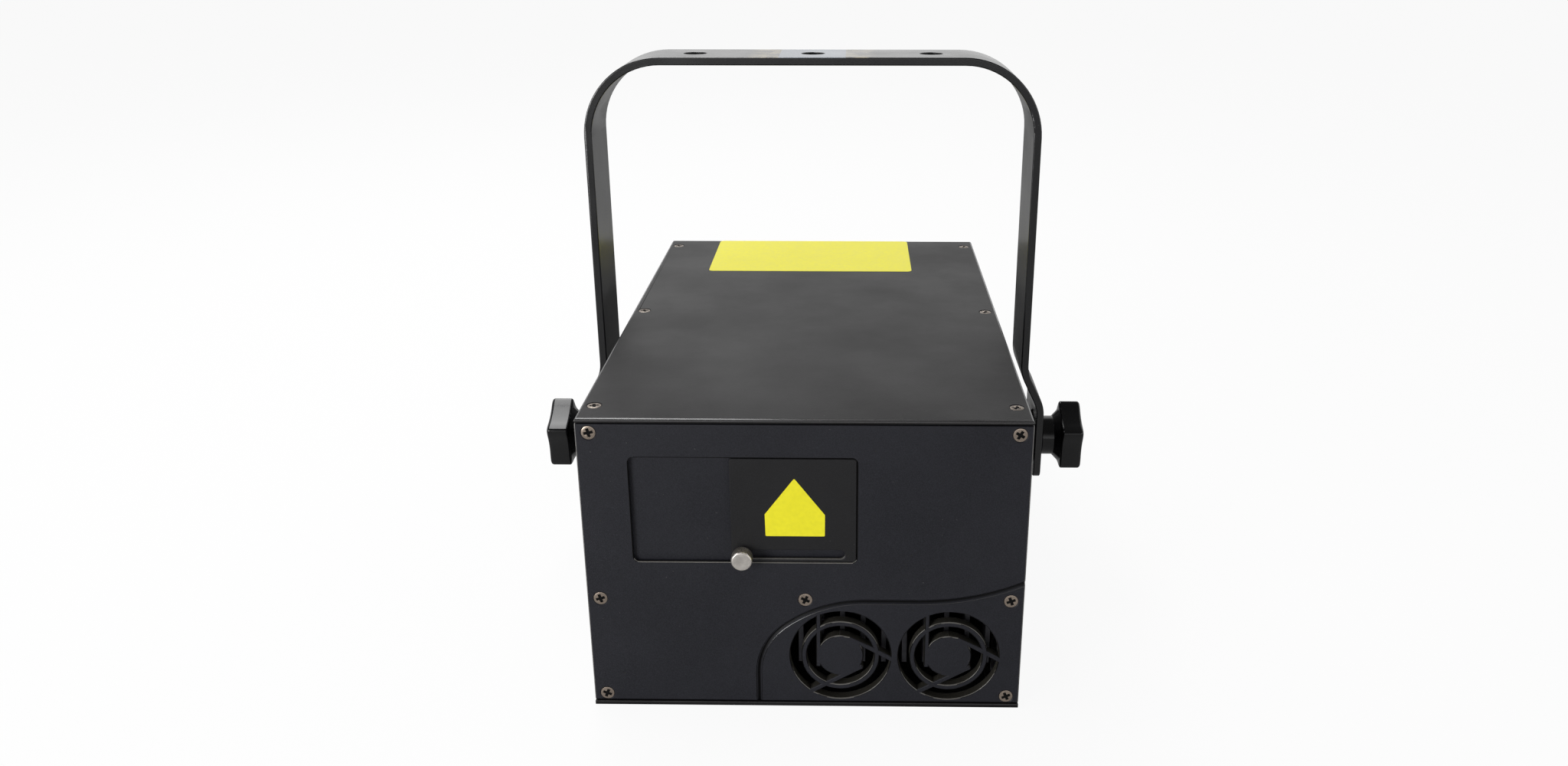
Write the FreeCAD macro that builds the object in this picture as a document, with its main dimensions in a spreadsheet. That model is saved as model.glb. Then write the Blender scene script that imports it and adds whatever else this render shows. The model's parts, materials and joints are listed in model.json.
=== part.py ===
"""Laser show projector: sheet-metal case, sliding aperture shutter, tilting yoke, optics and cooling.

Millimetres. +Z is up, the front faces -Y, and the origin is the middle of the base plate's underside.
"""
import FreeCAD, Part
import math
import os

import Sketcher

Vector = FreeCAD.Vector

SIZES = {
    # case shell
    "case_width": 200.0,
    "case_depth": 316.0,
    "case_height": 146.0,
    "base_thickness": 2.0,
    "base_lip": 0.5,
    "cover_thickness": 2.0,
    "cover_edge_round": 1.4,
    "side_thickness": 1.5,
    "flange_width": 12.0,
    "front_thickness": 5.0,
    "front_edge_round": 0.6,
    "rear_thickness": 3.0,
    "panel_seam": 0.5,
    "post_width": 9.0,
    "post_depth": 22.0,
    # fasteners of the case
    "screw_radius": 2.0,
    "screw_head_radius": 3.5,
    "screw_length": 11.0,
    "screw_sink": 0.1,
    "screw_top_inset": 6.7,
    "screw_bottom_inset": 6.0,
    "clinch_nut_radius": 4.0,
    "clinch_nut_height": 5.0,
    # clearances
    "screw_clearance": 0.05,
    "seat_clearance": 0.2,
    "slide_clearance": 0.3,
    "turn_clearance": 0.1,
    "overrun": 1.0,
    # styling groove of the front panel
    "groove_half_width": 1.25,
    "groove_depth": 1.2,
    "groove_left": -22.0,
    "groove_rise_low": 34.7,
    "groove_knee": 8.7,
    "groove_level": 56.2,
    "groove_bend_inset": 23.0,
    "groove_exit": 71.7,
    "groove_low_round": 32.5,
    "groove_knee_round": 60.0,
    "groove_bend_round": 117.0,
    # fan grilles of the front panel
    "grille_pitch": 50.2,
    "grille_inset": 33.7,
    "grille_height": 27.7,
    "grille_radius": 23.4,
    "grille_ring_outer": 18.2,
    "grille_ring_inner": 15.7,
    "grille_disc_radius": 10.7,
    "grille_spoke_width": 2.3,
    "grille_spoke_offset": 10.2,
    "grille_spoke_tail": 6.0,
    # shutter and aperture
    "recess_left": -77.5,
    "recess_right": 23.4,
    "recess_below": 9.6,
    "recess_above": 5.7,
    "recess_depth": 2.2,
    "recess_round": 2.5,
    "shutter_width": 56.2,
    "shutter_thickness": 2.0,
    "shutter_round": 1.5,
    "shutter_sink": 0.05,
    "shutter_travel": 44.0,
    "shutter_edge_round": 0.4,
    "slot_radius": 2.1,
    "slot_height": 4.1,
    "slot_inset": 5.0,
    "aperture_middle": 1.0,
    "aperture_lift": 1.5,
    "aperture_width": 38.0,
    "aperture_rise": 36.0,
    "aperture_round": 3.0,
    "window_border": 5.0,
    "window_thickness": 1.5,
    "retainer_border": 9.0,
    "retainer_thickness": 2.0,
    "thumb_radius": 4.8,
    "thumb_length": 7.4,
    "thumb_collar_radius": 3.6,
    "thumb_collar_length": 1.4,
    "thumb_edge": 0.6,
    "thumb_shank_radius": 1.9,
    # yoke and its pivots
    "pivot_rise": 12.0,
    "yoke_bar_width": 40.0,
    "yoke_bar_thickness": 4.0,
    "yoke_reach": 211.0,
    "yoke_leg_gap": 16.5,
    "yoke_pad_gap": 26.4,
    "yoke_joggle_start": 24.0,
    "yoke_joggle_rise": 20.0,
    "yoke_joggle_round": 20.0,
    "yoke_corner_round": 38.0,
    "yoke_end_drop": 18.0,
    "yoke_end_round": 4.0,
    "yoke_edge_round": 0.6,
    "yoke_hole_radius": 6.0,
    "yoke_hole_spacing": 60.5,
    "boss_radius": 15.0,
    "boss_spigot_radius": 7.0,
    "boss_spigot_length": 9.0,
    "boss_thread_depth": 17.0,
    "boss_edge": 1.0,
    "nut_flat_radius": 9.5,
    "nut_thickness": 6.0,
    "stud_radius": 4.0,
    "stud_length": 18.0,
    "stud_hole_radius": 4.4,
    "washer_radius": 12.5,
    "washer_thickness": 1.2,
    # star knobs
    "knob_radius": 19.7,
    "knob_neck_radius": 10.9,
    "knob_neck_length": 6.9,
    "knob_cone_length": 3.6,
    "knob_length": 21.9,
    "knob_rim_round": 1.8,
    "knob_face_dish": 1.0,
    "knob_dish_radius": 9.0,
    "knob_scallop_radius": 60.0,
    "knob_scallop_distance": 75.9,
    "knob_stud_socket": 12.0,
    # optical plate and heat sink
    "plate_bottom": 53.0,
    "plate_thickness": 8.0,
    "plate_rear": 60.0,
    "plate_side_gap": 1.0,
    "rail_width": 11.5,
    "rail_drop": 13.0,
    "rail_thickness": 2.5,
    "sink_base": 5.0,
    "sink_width": 90.0,
    "sink_front_gap": 2.0,
    "sink_rear": 30.0,
    "fin_pitch": 9.7,
    "fin_thickness": 2.2,
    "fin_bottom": 20.0,
    # cooling fans
    "fan_size": 40.0,
    "fan_depth": 20.0,
    "fan_corner_round": 3.0,
    "fan_bore_radius": 19.0,
    "fan_hub_radius": 11.0,
    "fan_tip_gap": 0.6,
    "fan_strut_width": 2.4,
    "fan_strut_depth": 2.5,
    "fan_pin_radius": 1.5,
    "fan_rotor_gap": 1.0,
    "fan_hub_wall": 2.0,
    "fan_blade_thickness": 1.2,
    "fan_blade_chord": 15.0,
    "fan_screw_inset": 4.0,
    "fan_screw_hole": 1.8,
    # laser modules and beam combiner
    "combiner_front": -105.0,
    "laser_side_gap": 5.5,
    "laser_gap": 4.0,
    "laser_scanner_gap": 3.0,
    "laser_front": -82.0,
    "laser_length": 62.0,
    "laser_over": 11.0,
    "laser_groove": 3.0,
    "laser_groove_pitch": 8.0,
    "laser_groove_depth": 3.0,
    "barrel_radius": 5.0,
    "barrel_length": 8.0,
    "barrel_bore": 2.5,
    "mount_gap": 4.79,
    "mount_slot_depth": 3.0,
    "mirror_inset": 1.0,
    "mirror_drop": 1.5,
    "mirror_rise": 17.0,
    "mirror_thickness": 1.1,
    # galvo scanner
    "scan_drop": 12.0,
    "scan_mirror_gap": 9.0,
    "scanner_left": 17.0,
    "scanner_right": 33.0,
    "scanner_front_gap": 13.0,
    "scanner_bar_depth": 22.0,
    "scanner_arm_reach": 13.0,
    "scanner_arm_gap": 13.0,
    "scanner_rise": 14.0,
    "galvo_radius": 7.0,
    "galvo_length": 44.0,
    "galvo_shaft_radius": 1.5,
    "galvo_shaft_socket": 9.0,
    "scan_thickness": 1.0,
    "x_scan_length": 9.0,
    "x_scan_width": 11.0,
    "y_scan_length": 15.0,
    "y_scan_width": 8.5,
    "scan_stub": 1.5,
    # boards and power supply
    "board_thickness": 1.6,
    "driver_inset": 38.5,
    "driver_front": -80.0,
    "driver_rear": 40.0,
    "driver_lift": 5.0,
    "driver_head_gap": 18.0,
    "driver_bracket_foot": 18.0,
    "driver_bracket_sheet": 2.0,
    "driver_part_size": 10.0,
    "driver_part_depth": 5.0,
    "driver_part_pitch": 26.0,
    "supply_side_gap": 14.5,
    "supply_sink_gap": 10.2,
    "supply_front": -120.0,
    "supply_length": 150.0,
    "supply_height": 42.0,
    "supply_vent_width": 3.0,
    "supply_vent_pitch": 10.0,
    "supply_vent_depth": 1.2,
    "supply_vent_inset": 12.0,
    "terminal_length": 14.0,
    "terminal_height": 16.0,
    # main board behind the rear panel
    "main_gap": 10.4,
    "main_side_gap": 14.5,
    "main_key_gap": 13.0,
    "main_drop": 20.0,
    "main_head_gap": 5.0,
    "standoff_radius": 3.0,
    "standoff_inset": 5.0,
    # rear panel fittings
    "fitting_lip": 2.0,
    "inlet_inset": 40.5,
    "inlet_z": 30.0,
    "inlet_width": 28.0,
    "inlet_rise": 20.0,
    "inlet_flange_width": 50.0,
    "inlet_flange_rise": 24.0,
    "inlet_depth": 22.0,
    "inlet_mouth_width": 24.0,
    "inlet_mouth_rise": 16.0,
    "inlet_mouth_depth": 18.0,
    "inlet_pin_width": 2.0,
    "inlet_pin_rise": 4.0,
    "inlet_pin_length": 12.0,
    "inlet_pin_spread": 7.0,
    "switch_pitch": 40.0,
    "switch_width": 15.0,
    "switch_rise": 21.0,
    "switch_wall": 1.6,
    "switch_depth": 15.0,
    "rocker_forward": 0.5,
    "rocker_end_height": 2.6,
    "rocker_middle_height": 1.4,
    "rocker_root": 4.0,
    "rocker_root_width": 8.0,
    "key_inset": 21.5,
    "key_drop": 32.0,
    "key_barrel_radius": 8.0,
    "key_flange_radius": 10.5,
    "key_depth": 20.0,
    "key_rotor_radius": 5.0,
    "key_rotor_depth": 10.0,
    "key_slot_width": 1.6,
    "key_slot_length": 7.0,
    "key_slot_depth": 5.0,
    "signal_inset": 53.5,
    "signal_drop": 22.0,
    "signal_width": 53.0,
    "signal_rise": 12.5,
    "signal_flange": 1.2,
    "signal_shell_width": 39.0,
    "signal_shell_rise": 8.4,
    "signal_shell_length": 5.0,
    "signal_shell_taper": 1.4,
    "signal_shell_round": 1.8,
    "signal_body_width": 40.0,
    "signal_body_rise": 10.0,
    "jack_spread": 23.5,
    "jack_radius": 2.6,
    "jack_length": 5.0,
    "control_inset": 30.5,
    "control_pitch": 34.0,
    "control_drop": 56.0,
    "control_width": 26.0,
    "control_rise": 31.0,
    "control_round": 4.0,
    "control_body_radius": 11.8,
    "control_mouth_radius": 9.4,
    "control_mouth_depth": 13.0,
    "control_pin_radius": 1.2,
    "control_pin_circle": 4.2,
    "control_pin_length": 8.0,
    "display_drop": 24.0,
    "display_width": 46.0,
    "display_rise": 20.0,
    "display_thickness": 1.7,
    "button_drop": 22.0,
    "button_pitch": 12.0,
    "button_radius": 3.0,
    "button_proud": 2.0,
    "button_collar_radius": 4.0,
    "button_collar_length": 1.5,
    "button_travel": 1.2,
    "button_tail": 3.0,
    "tact_size": 6.0,
    "vent_inset": 12.5,
    "vent_switch_gap": 36.0,
    "vent_gap": 8.0,
    "vent_radius": 1.6,
    "vent_bottom": 12.0,
    "vent_pitch": 6.5,
}

# Counts and angles
FIN_COUNT = 10
BLADE_COUNT = 7
KNOB_LOBES = 5
KNOB_TURN = 61
SPOKE_ANGLES = (0, 120, 240)
STRUT_ANGLES = (30, 150, 270)
BLADE_PITCH = 38
LASER_COUNT = 3
LASER_GROOVES = 5
SUPPLY_VENTS = 12
VENT_ROWS = 6
VENT_COLUMNS = 2
DRIVER_PARTS = 4
BUTTON_COUNT = 4
ROCKER_REST = 10
BOTH_SIDES = (("left", -1), ("right", 1))
SAME_PLACE = 1e-4

# Part of the room left beside the display that lies on the signal socket's side
display_place_share = 0.70513

doc = FreeCAD.newDocument("laser_show_projector")
sheet = doc.addObject("Spreadsheet::Sheet", "Dims")


class Size:
    """A length that carries its value and the sheet formula it comes from."""

    def __init__(self, formula, value):
        self.formula = formula
        self.value = value

    def __add__(self, other):
        return Size(f"({self.formula} + {formula_of(other)})", self.value + value_of(other))

    def __radd__(self, other):
        return self + other

    def __neg__(self):
        return Size(f"(0 - {self.formula})", -self.value)

    def __sub__(self, other):
        return Size(f"({self.formula} - {formula_of(other)})", self.value - value_of(other))

    def __rsub__(self, other):
        return -self + other

    def __mul__(self, factor):
        return Size(f"({self.formula} * ({factor!r}))", self.value * factor)

    __rmul__ = __mul__

    def __truediv__(self, divisor):
        return Size(f"({self.formula} / {divisor!r})", self.value / divisor)


def formula_of(size):
    return size.formula if isinstance(size, Size) else repr(size)


def value_of(size):
    return size.value if isinstance(size, Size) else float(size)


class Dimensions:
    """The sheet's cells, as attributes."""


dims = Dimensions()
for row, (alias, number) in enumerate(SIZES.items(), start=1):
    sheet.set(f"A{row}", alias)
    sheet.set(f"B{row}", str(number))
    sheet.setAlias(f"B{row}", alias)
    setattr(dims, alias, Size(f"Dims.{alias}", number))
doc.recompute()

nodes = {}


def bind(owner, path, size):
    """Drive a property by the sheet; a plain zero stays as it is."""
    if isinstance(size, Size):
        owner.setExpression(path, size.formula)


def place(solid, point):
    for axis, size in zip("xyz", point):
        bind(solid, f"Placement.Base.{axis}", size)
    return solid


def node(name, solid):
    """Name a finished sub-part; its file takes the same name."""
    solid.Label = name
    nodes[name] = solid
    return solid


def mirrored(sign, near, far):
    """The span from near to far on the right side, or its mirror image on the left."""
    return (near, far) if sign > 0 else (-far, -near)


def box(x_span, y_span, z_span):
    solid = doc.addObject("Part::Box", "box")
    for path, (low, high) in zip(("Length", "Width", "Height"), (x_span, y_span, z_span)):
        bind(solid, path, high - low)
    return place(solid, (x_span[0], y_span[0], z_span[0]))


AXIS_TURNS = {
    "x": FreeCAD.Rotation(Vector(0, 1, 0), 90),
    "y": FreeCAD.Rotation(Vector(1, 0, 0), -90),
    "z": FreeCAD.Rotation(),
}


def along(axis, start, middle):
    """The point at start along an axis, with the other two coordinates from middle."""
    point = list(middle)
    point.insert("xyz".index(axis), start)
    return point


def cylinder(axis, middle, span, radius):
    solid = doc.addObject("Part::Cylinder", "cylinder")
    bind(solid, "Radius", radius)
    bind(solid, "Height", span[1] - span[0])
    solid.Placement.Rotation = AXIS_TURNS[axis]
    return place(solid, along(axis, span[0], middle))


def cone(axis, middle, span, radii):
    solid = doc.addObject("Part::Cone", "cone")
    bind(solid, "Radius1", radii[0])
    bind(solid, "Radius2", radii[1])
    bind(solid, "Height", span[1] - span[0])
    solid.Placement.Rotation = AXIS_TURNS[axis]
    return place(solid, along(axis, span[0], middle))


def fuse(*solids):
    joined = doc.addObject("Part::MultiFuse", "fuse")
    joined.Shapes = list(solids)
    joined.Refine = True
    return joined


def group(*solids):
    collected = doc.addObject("Part::Compound", "group")
    collected.Links = list(solids)
    return collected


def cut(base, *tools):
    result = doc.addObject("Part::Cut", "cut")
    result.Base = base
    result.Tool = tools[0] if len(tools) == 1 else fuse(*tools)
    return result


def common(first, second):
    result = doc.addObject("Part::Common", "common")
    result.Base = first
    result.Tool = second
    return result


def new_body():
    return doc.addObject("PartDesign::Body", "body")


def sketch_on(body, role, offset=0):
    """A sketch on one of the body's own origin planes, moved along the plane's normal."""
    plane = next(feature for feature in body.Origin.OriginFeatures if feature.Role == role)
    sketch = body.newObject("Sketcher::SketchObject", "sketch")
    sketch.AttachmentSupport = (plane, [""])
    sketch.MapMode = "FlatFace"
    bind(sketch, "AttachmentOffset.Base.z", offset)
    return sketch


def fix_point(sketch, geometry, position, x, y):
    for kind, axis, size in (("DistanceX", -2, x), ("DistanceY", -1, y)):
        if isinstance(size, Size):
            index = sketch.addConstraint(Sketcher.Constraint(kind, -1, 1, geometry, position, size.value))
            bind(sketch, f"Constraints[{index}]", size)
        else:
            sketch.addConstraint(Sketcher.Constraint("PointOnObject", geometry, position, axis))


def add_circle(sketch, x, y, radius):
    middle = Vector(value_of(x), value_of(y), 0)
    geometry = sketch.addGeometry(Part.Circle(middle, Vector(0, 0, 1), radius.value), False)
    fix_point(sketch, geometry, 3, x, y)
    index = sketch.addConstraint(Sketcher.Constraint("Radius", geometry, radius.value))
    bind(sketch, f"Constraints[{index}]", radius)


def add_outline(sketch, corners, closed=True):
    """Lines through corner points (x, y, radius), with a tangent arc where a radius is given."""
    points = [Vector(value_of(x), value_of(y), 0) for x, y, _ in corners]
    count = len(corners)
    leaving = list(points)
    reaching = list(points)
    for i, (_, _, radius) in enumerate(corners):
        if radius is None:
            continue
        back = (points[i - 1] - points[i]).normalize()
        ahead = (points[(i + 1) % count] - points[i]).normalize()
        half_angle = back.getAngle(ahead) / 2
        reaching[i] = points[i] + back * (radius.value / math.tan(half_angle))
        leaving[i] = points[i] + ahead * (radius.value / math.tan(half_angle))
    runs = count if closed else count - 1
    lines = []
    for i in range(runs):
        segment = Part.LineSegment(leaving[i], reaching[(i + 1) % count])
        lines.append(sketch.addGeometry(segment, False))
    for i, (x, y, radius) in enumerate(corners):
        before = lines[i - 1] if closed or i > 0 else None
        after = lines[i] if i < runs else None
        if radius is None:
            if before is not None and after is not None:
                sketch.addConstraint(Sketcher.Constraint("Coincident", before, 2, after, 1))
            vertex = (after, 1) if after is not None else (before, 2)
            fix_point(sketch, vertex[0], vertex[1], x, y)
            continue
        back = reaching[i] - points[i]
        ahead = leaving[i] - points[i]
        middle = points[i] + (back + ahead) * (1 / (1 + math.cos(back.getAngle(ahead))))
        anticlockwise = back.cross(ahead).z < 0
        first, last = (reaching[i], leaving[i]) if anticlockwise else (leaving[i], reaching[i])
        angles = [math.atan2(p.y - middle.y, p.x - middle.x) for p in (first, last)]
        circle = Part.Circle(middle, Vector(0, 0, 1), radius.value)
        arc = sketch.addGeometry(Part.ArcOfCircle(circle, angles[0], angles[1]), False)
        ends = (1, 2) if anticlockwise else (2, 1)
        sketch.addConstraint(Sketcher.Constraint("Tangent", before, 2, arc, ends[0]))
        sketch.addConstraint(Sketcher.Constraint("Tangent", arc, ends[1], after, 1))
        index = sketch.addConstraint(Sketcher.Constraint("Radius", arc, radius.value))
        bind(sketch, f"Constraints[{index}]", radius)
        mark = sketch.addGeometry(Part.Point(points[i]), True)
        fix_point(sketch, mark, 1, x, y)
        sketch.addConstraint(Sketcher.Constraint("PointOnObject", mark, 1, before))
        sketch.addConstraint(Sketcher.Constraint("PointOnObject", mark, 1, after))


def add_rectangle(sketch, x_span, y_span, radius=None):
    corners = [(x, y, radius) for x, y in (
        (x_span[0], y_span[0]), (x_span[1], y_span[0]), (x_span[1], y_span[1]), (x_span[0], y_span[1]))]
    add_outline(sketch, corners)


def add_slot(sketch, x_span, y, radius):
    """A slot with round ends whose end centres are at x_span."""
    ends = [Vector(value_of(x), value_of(y), 0) for x in x_span]
    up = Vector(0, radius.value, 0)
    turns = ((math.pi / 2, 3 * math.pi / 2), (-math.pi / 2, math.pi / 2))
    arcs = []
    for end, angles in zip(ends, turns):
        circle = Part.Circle(end, Vector(0, 0, 1), radius.value)
        arcs.append(sketch.addGeometry(Part.ArcOfCircle(circle, *angles), False))
    lower = sketch.addGeometry(Part.LineSegment(ends[0] - up, ends[1] - up), False)
    upper = sketch.addGeometry(Part.LineSegment(ends[1] + up, ends[0] + up), False)
    sketch.addConstraint(Sketcher.Constraint("Tangent", arcs[0], 2, lower, 1))
    sketch.addConstraint(Sketcher.Constraint("Tangent", lower, 2, arcs[1], 1))
    sketch.addConstraint(Sketcher.Constraint("Tangent", arcs[1], 2, upper, 1))
    sketch.addConstraint(Sketcher.Constraint("Tangent", upper, 2, arcs[0], 1))
    fix_point(sketch, arcs[0], 3, x_span[0], y)
    index = sketch.addConstraint(Sketcher.Constraint("DistanceX", -1, 1, arcs[1], 3, value_of(x_span[1])))
    bind(sketch, f"Constraints[{index}]", x_span[1])
    index = sketch.addConstraint(Sketcher.Constraint("Radius", arcs[0], radius.value))
    bind(sketch, f"Constraints[{index}]", radius)


def feature(body, kind, sketch, length, reverse=False):
    made = body.newObject(f"PartDesign::{kind}", kind.lower())
    made.Profile = sketch
    made.Reversed = reverse
    if length is None:
        made.Type = "ThroughAll"
    else:
        bind(made, "Length", length)
    doc.recompute()
    return made


def pad(body, sketch, length, reverse=False):
    return feature(body, "Pad", sketch, length, reverse)


def pocket(body, sketch, length=None, reverse=False):
    return feature(body, "Pocket", sketch, length, reverse)


def countersunk_holes(body, role, offset, points, reverse=False):
    """Through holes with a conical seat for the case screws, on the face that the sketch lies on."""
    sketch = sketch_on(body, role, offset)
    for x, y in points:
        add_circle(sketch, x, y, dims.screw_radius)
    doc.recompute()
    hole = body.newObject("PartDesign::Hole", "hole")
    hole.Profile = sketch
    doc.recompute()
    hole.ThreadType = "None"
    hole.Reversed = reverse
    hole.DepthType = "ThroughAll"
    hole.HoleCutType = "Countersink"
    hole.HoleCutCustomValues = True
    hole.HoleCutCountersinkAngle = 90
    bind(hole, "Diameter", (dims.screw_radius + dims.screw_clearance) * 2)
    bind(hole, "HoleCutDiameter", (dims.screw_head_radius + dims.screw_sink + dims.screw_clearance) * 2)
    doc.recompute()
    return hole


def round_edges(body, base, radius, keep):
    """Fillet the edges of a feature that keep() picks."""
    fillet = body.newObject("PartDesign::Fillet", "fillet")
    picked = [f"Edge{i}" for i, edge in enumerate(base.Shape.Edges, start=1) if keep(edge)]
    fillet.Base = (base, picked)
    bind(fillet, "Radius", radius)
    doc.recompute()
    return fillet


def flat_at(edge, axis, size):
    """True for an edge that lies wholly in the plane axis = size."""
    bounds = edge.BoundBox
    ends = {"y": (bounds.YMin, bounds.YMax), "z": (bounds.ZMin, bounds.ZMax)}[axis]
    return all(abs(end - value_of(size)) < SAME_PLACE for end in ends)


# Planes of the case
half_width = dims.case_width / 2
half_depth = dims.case_depth / 2
front_face = -half_depth
front_back = front_face + dims.front_thickness
rear_face = half_depth
rear_inner = rear_face - dims.rear_thickness
floor_top = dims.base_thickness
cover_under = dims.case_height - dims.cover_thickness
side_inner = half_width - dims.side_thickness
panel_bottom = floor_top + dims.panel_seam
panel_top = cover_under - dims.panel_seam
post_inner = side_inner - dims.post_width
post_bottom = floor_top + dims.side_thickness
post_top = cover_under - dims.side_thickness
plate_top = dims.plate_bottom + dims.plate_thickness

# Pivots and yoke
pivot_height = plate_top + dims.pivot_rise
yoke_top = pivot_height + dims.yoke_reach
yoke_leg_outer = half_width + dims.yoke_leg_gap
yoke_pad_outer = half_width + dims.yoke_pad_gap
joggle_bottom = pivot_height + dims.yoke_joggle_start
joggle_top = joggle_bottom + dims.yoke_joggle_rise

# Grilles, with the heat sink and the fans behind them
grille_right = half_width - dims.grille_inset
grille_left = grille_right - dims.grille_pitch
sink_middle = (grille_left + grille_right) / 2
sink_front = front_back + dims.sink_front_gap

# Aperture, halfway up the space over the optical plate, and the shutter's recess around it
aperture_height = (plate_top + cover_under) / 2 + dims.aperture_lift
half_aperture = dims.aperture_width / 2
aperture_x = (dims.aperture_middle - half_aperture, dims.aperture_middle + half_aperture)
aperture_z = (aperture_height - dims.aperture_rise / 2, aperture_height + dims.aperture_rise / 2)
recess_bottom = aperture_z[0] - dims.recess_below
recess_top = aperture_z[1] + dims.recess_above
thumb_x = dims.recess_right - dims.slide_clearance - dims.shutter_width + dims.slot_inset
thumb_z = recess_bottom + dims.slot_height

# Beam, lasers and scanner
scan_x = dims.aperture_middle
scan_y = dims.combiner_front
beam_height = aperture_height - dims.scan_drop
scanner_left = scan_x - dims.scanner_left
lasers_left = dims.laser_side_gap - side_inner
laser_pitch = (scanner_left - dims.laser_scanner_gap - lasers_left + dims.laser_gap) / LASER_COUNT
laser_width = laser_pitch - dims.laser_gap
mount_size = (laser_pitch - dims.mount_gap) / math.sqrt(2)
mirror_bottom = beam_height - dims.mirror_rise / 2 - dims.mirror_drop
mount_top = mirror_bottom + dims.mount_slot_depth

# Rear fittings
key_x = side_inner - dims.key_inset
key_z = cover_under - dims.key_drop
inlet_x = side_inner - dims.inlet_inset
switch_x = inlet_x - dims.switch_pitch
signal_x = dims.signal_inset - side_inner
signal_z = cover_under - dims.signal_drop
control_in_x = dims.control_inset - side_inner
control_out_x = control_in_x + dims.control_pitch
control_z = cover_under - dims.control_drop
display_z = cover_under - dims.display_drop
button_z = display_z - dims.button_drop
display_space = key_x - dims.key_flange_radius - signal_x - dims.signal_width / 2
display_left = signal_x + dims.signal_width / 2 + (display_space - dims.display_width) * display_place_share
display_x = display_left + dims.display_width / 2
vent_left = dims.vent_inset - side_inner
vent_length = (switch_x - dims.vent_switch_gap - vent_left - dims.vent_gap) / VENT_COLUMNS

# Main board
main_left = dims.main_side_gap - side_inner
main_right = key_x - dims.main_key_gap
main_bottom = control_z - dims.main_drop
main_top = cover_under - dims.main_head_gap

# Places of the case screws
screw_x = side_inner - dims.post_width / 2
screw_top = dims.case_height - dims.screw_top_inset
screw_bottom = dims.screw_bottom_inset
screw_middle = dims.plate_bottom + dims.plate_thickness / 2
front_post_y = front_back + dims.post_depth / 2
rear_post_y = rear_inner - dims.post_depth / 2
front_screw_points = [
    (-screw_x, screw_top), (screw_x, screw_top),
    (-screw_x, screw_middle), (0, screw_middle), (screw_x, screw_middle),
    (-screw_x, screw_bottom), (screw_x, screw_bottom),
]
rear_screw_heights = (screw_top, pivot_height, screw_bottom)
rear_screw_points = [(sign * screw_x, z) for z in rear_screw_heights for sign in (-1, 1)]
deck_screw_points = [(sign * screw_x, y) for y in (front_post_y, 0, rear_post_y) for sign in (-1, 1)]


def make_base_plate():
    body = new_body()
    sketch = sketch_on(body, "XY_Plane")
    add_rectangle(sketch, (-half_width, half_width), (front_face - dims.base_lip, rear_face))
    pad(body, sketch, dims.base_thickness)
    countersunk_holes(body, "XY_Plane", 0, deck_screw_points, reverse=True)
    node("base_plate", body)


def make_top_cover():
    body = new_body()
    sketch = sketch_on(body, "XY_Plane", dims.case_height)
    add_rectangle(sketch, (-half_width, half_width), (front_face, rear_face))
    plate = pad(body, sketch, dims.cover_thickness, reverse=True)
    round_edges(body, plate, dims.cover_edge_round, lambda edge: flat_at(edge, "z", dims.case_height))
    countersunk_holes(body, "XY_Plane", dims.case_height, deck_screw_points)
    node("top_cover", body)


def make_side_panels():
    """A web with a flange along the top and the bottom, bent from one sheet."""
    for side, sign in BOTH_SIDES:
        body = new_body()
        sketch = sketch_on(body, "XZ_Plane", -front_back)
        outer = sign * half_width
        inner = sign * side_inner
        lip = sign * (side_inner - dims.flange_width)
        add_outline(sketch, [
            (outer, floor_top, None), (outer, cover_under, None), (lip, cover_under, None),
            (lip, post_top, None), (inner, post_top, None), (inner, post_bottom, None),
            (lip, post_bottom, None), (lip, floor_top, None)])
        pad(body, sketch, rear_inner - front_back, reverse=True)
        pivot = sketch_on(body, "YZ_Plane", outer)
        add_circle(pivot, 0, pivot_height, dims.boss_spigot_radius + dims.turn_clearance)
        pocket(body, pivot, dims.side_thickness + dims.overrun, reverse=sign < 0)
        drill = sketch_on(body, "XY_Plane", cover_under)
        for y in (front_post_y, 0, rear_post_y):
            add_circle(drill, sign * screw_x, y, dims.screw_radius + dims.screw_clearance)
        pocket(body, drill)
        node(f"side_panel_{side}", body)


def make_corner_posts():
    posts = []
    holes = []
    drill_radius = dims.screw_radius + dims.screw_clearance
    for _, sign in BOTH_SIDES:
        x_span = mirrored(sign, post_inner, side_inner)
        for y_span, y, heights in (
                ((front_back, front_back + dims.post_depth), front_post_y,
                 (screw_top, screw_middle, screw_bottom)),
                ((rear_inner - dims.post_depth, rear_inner), rear_post_y, rear_screw_heights)):
            posts.append(box(x_span, y_span, (post_bottom, post_top)))
            holes.append(cylinder("z", (sign * screw_x, y), (floor_top, cover_under), drill_radius))
            for z in heights:
                run = (y_span[0] - dims.overrun, y_span[1] + dims.overrun)
                holes.append(cylinder("y", (sign * screw_x, z), run, drill_radius))
    node("corner_posts", cut(group(*posts), *holes))


def screw(axis, middle, face, inward):
    """A countersunk screw whose head lies just under a face; inward is the way it is driven."""
    head_height = dims.screw_head_radius - dims.screw_radius
    top = face + inward * dims.screw_sink
    seat = top + inward * head_height
    tip = top + inward * dims.screw_length
    if inward > 0:
        head = cone(axis, middle, (top, seat), (dims.screw_head_radius, dims.screw_radius))
        shank = cylinder(axis, middle, (seat, tip), dims.screw_radius)
    else:
        head = cone(axis, middle, (seat, top), (dims.screw_radius, dims.screw_head_radius))
        shank = cylinder(axis, middle, (tip, seat), dims.screw_radius)
    return fuse(head, shank)


def make_screws():
    node("front_screws", group(*[screw("y", point, front_face, 1) for point in front_screw_points]))
    node("rear_screws", group(*[screw("y", point, rear_face, -1) for point in rear_screw_points]))
    node("top_screws", group(*[screw("z", point, dims.case_height, -1) for point in deck_screw_points]))
    node("base_screws", group(*[screw("z", point, 0, 1) for point in deck_screw_points]))


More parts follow.
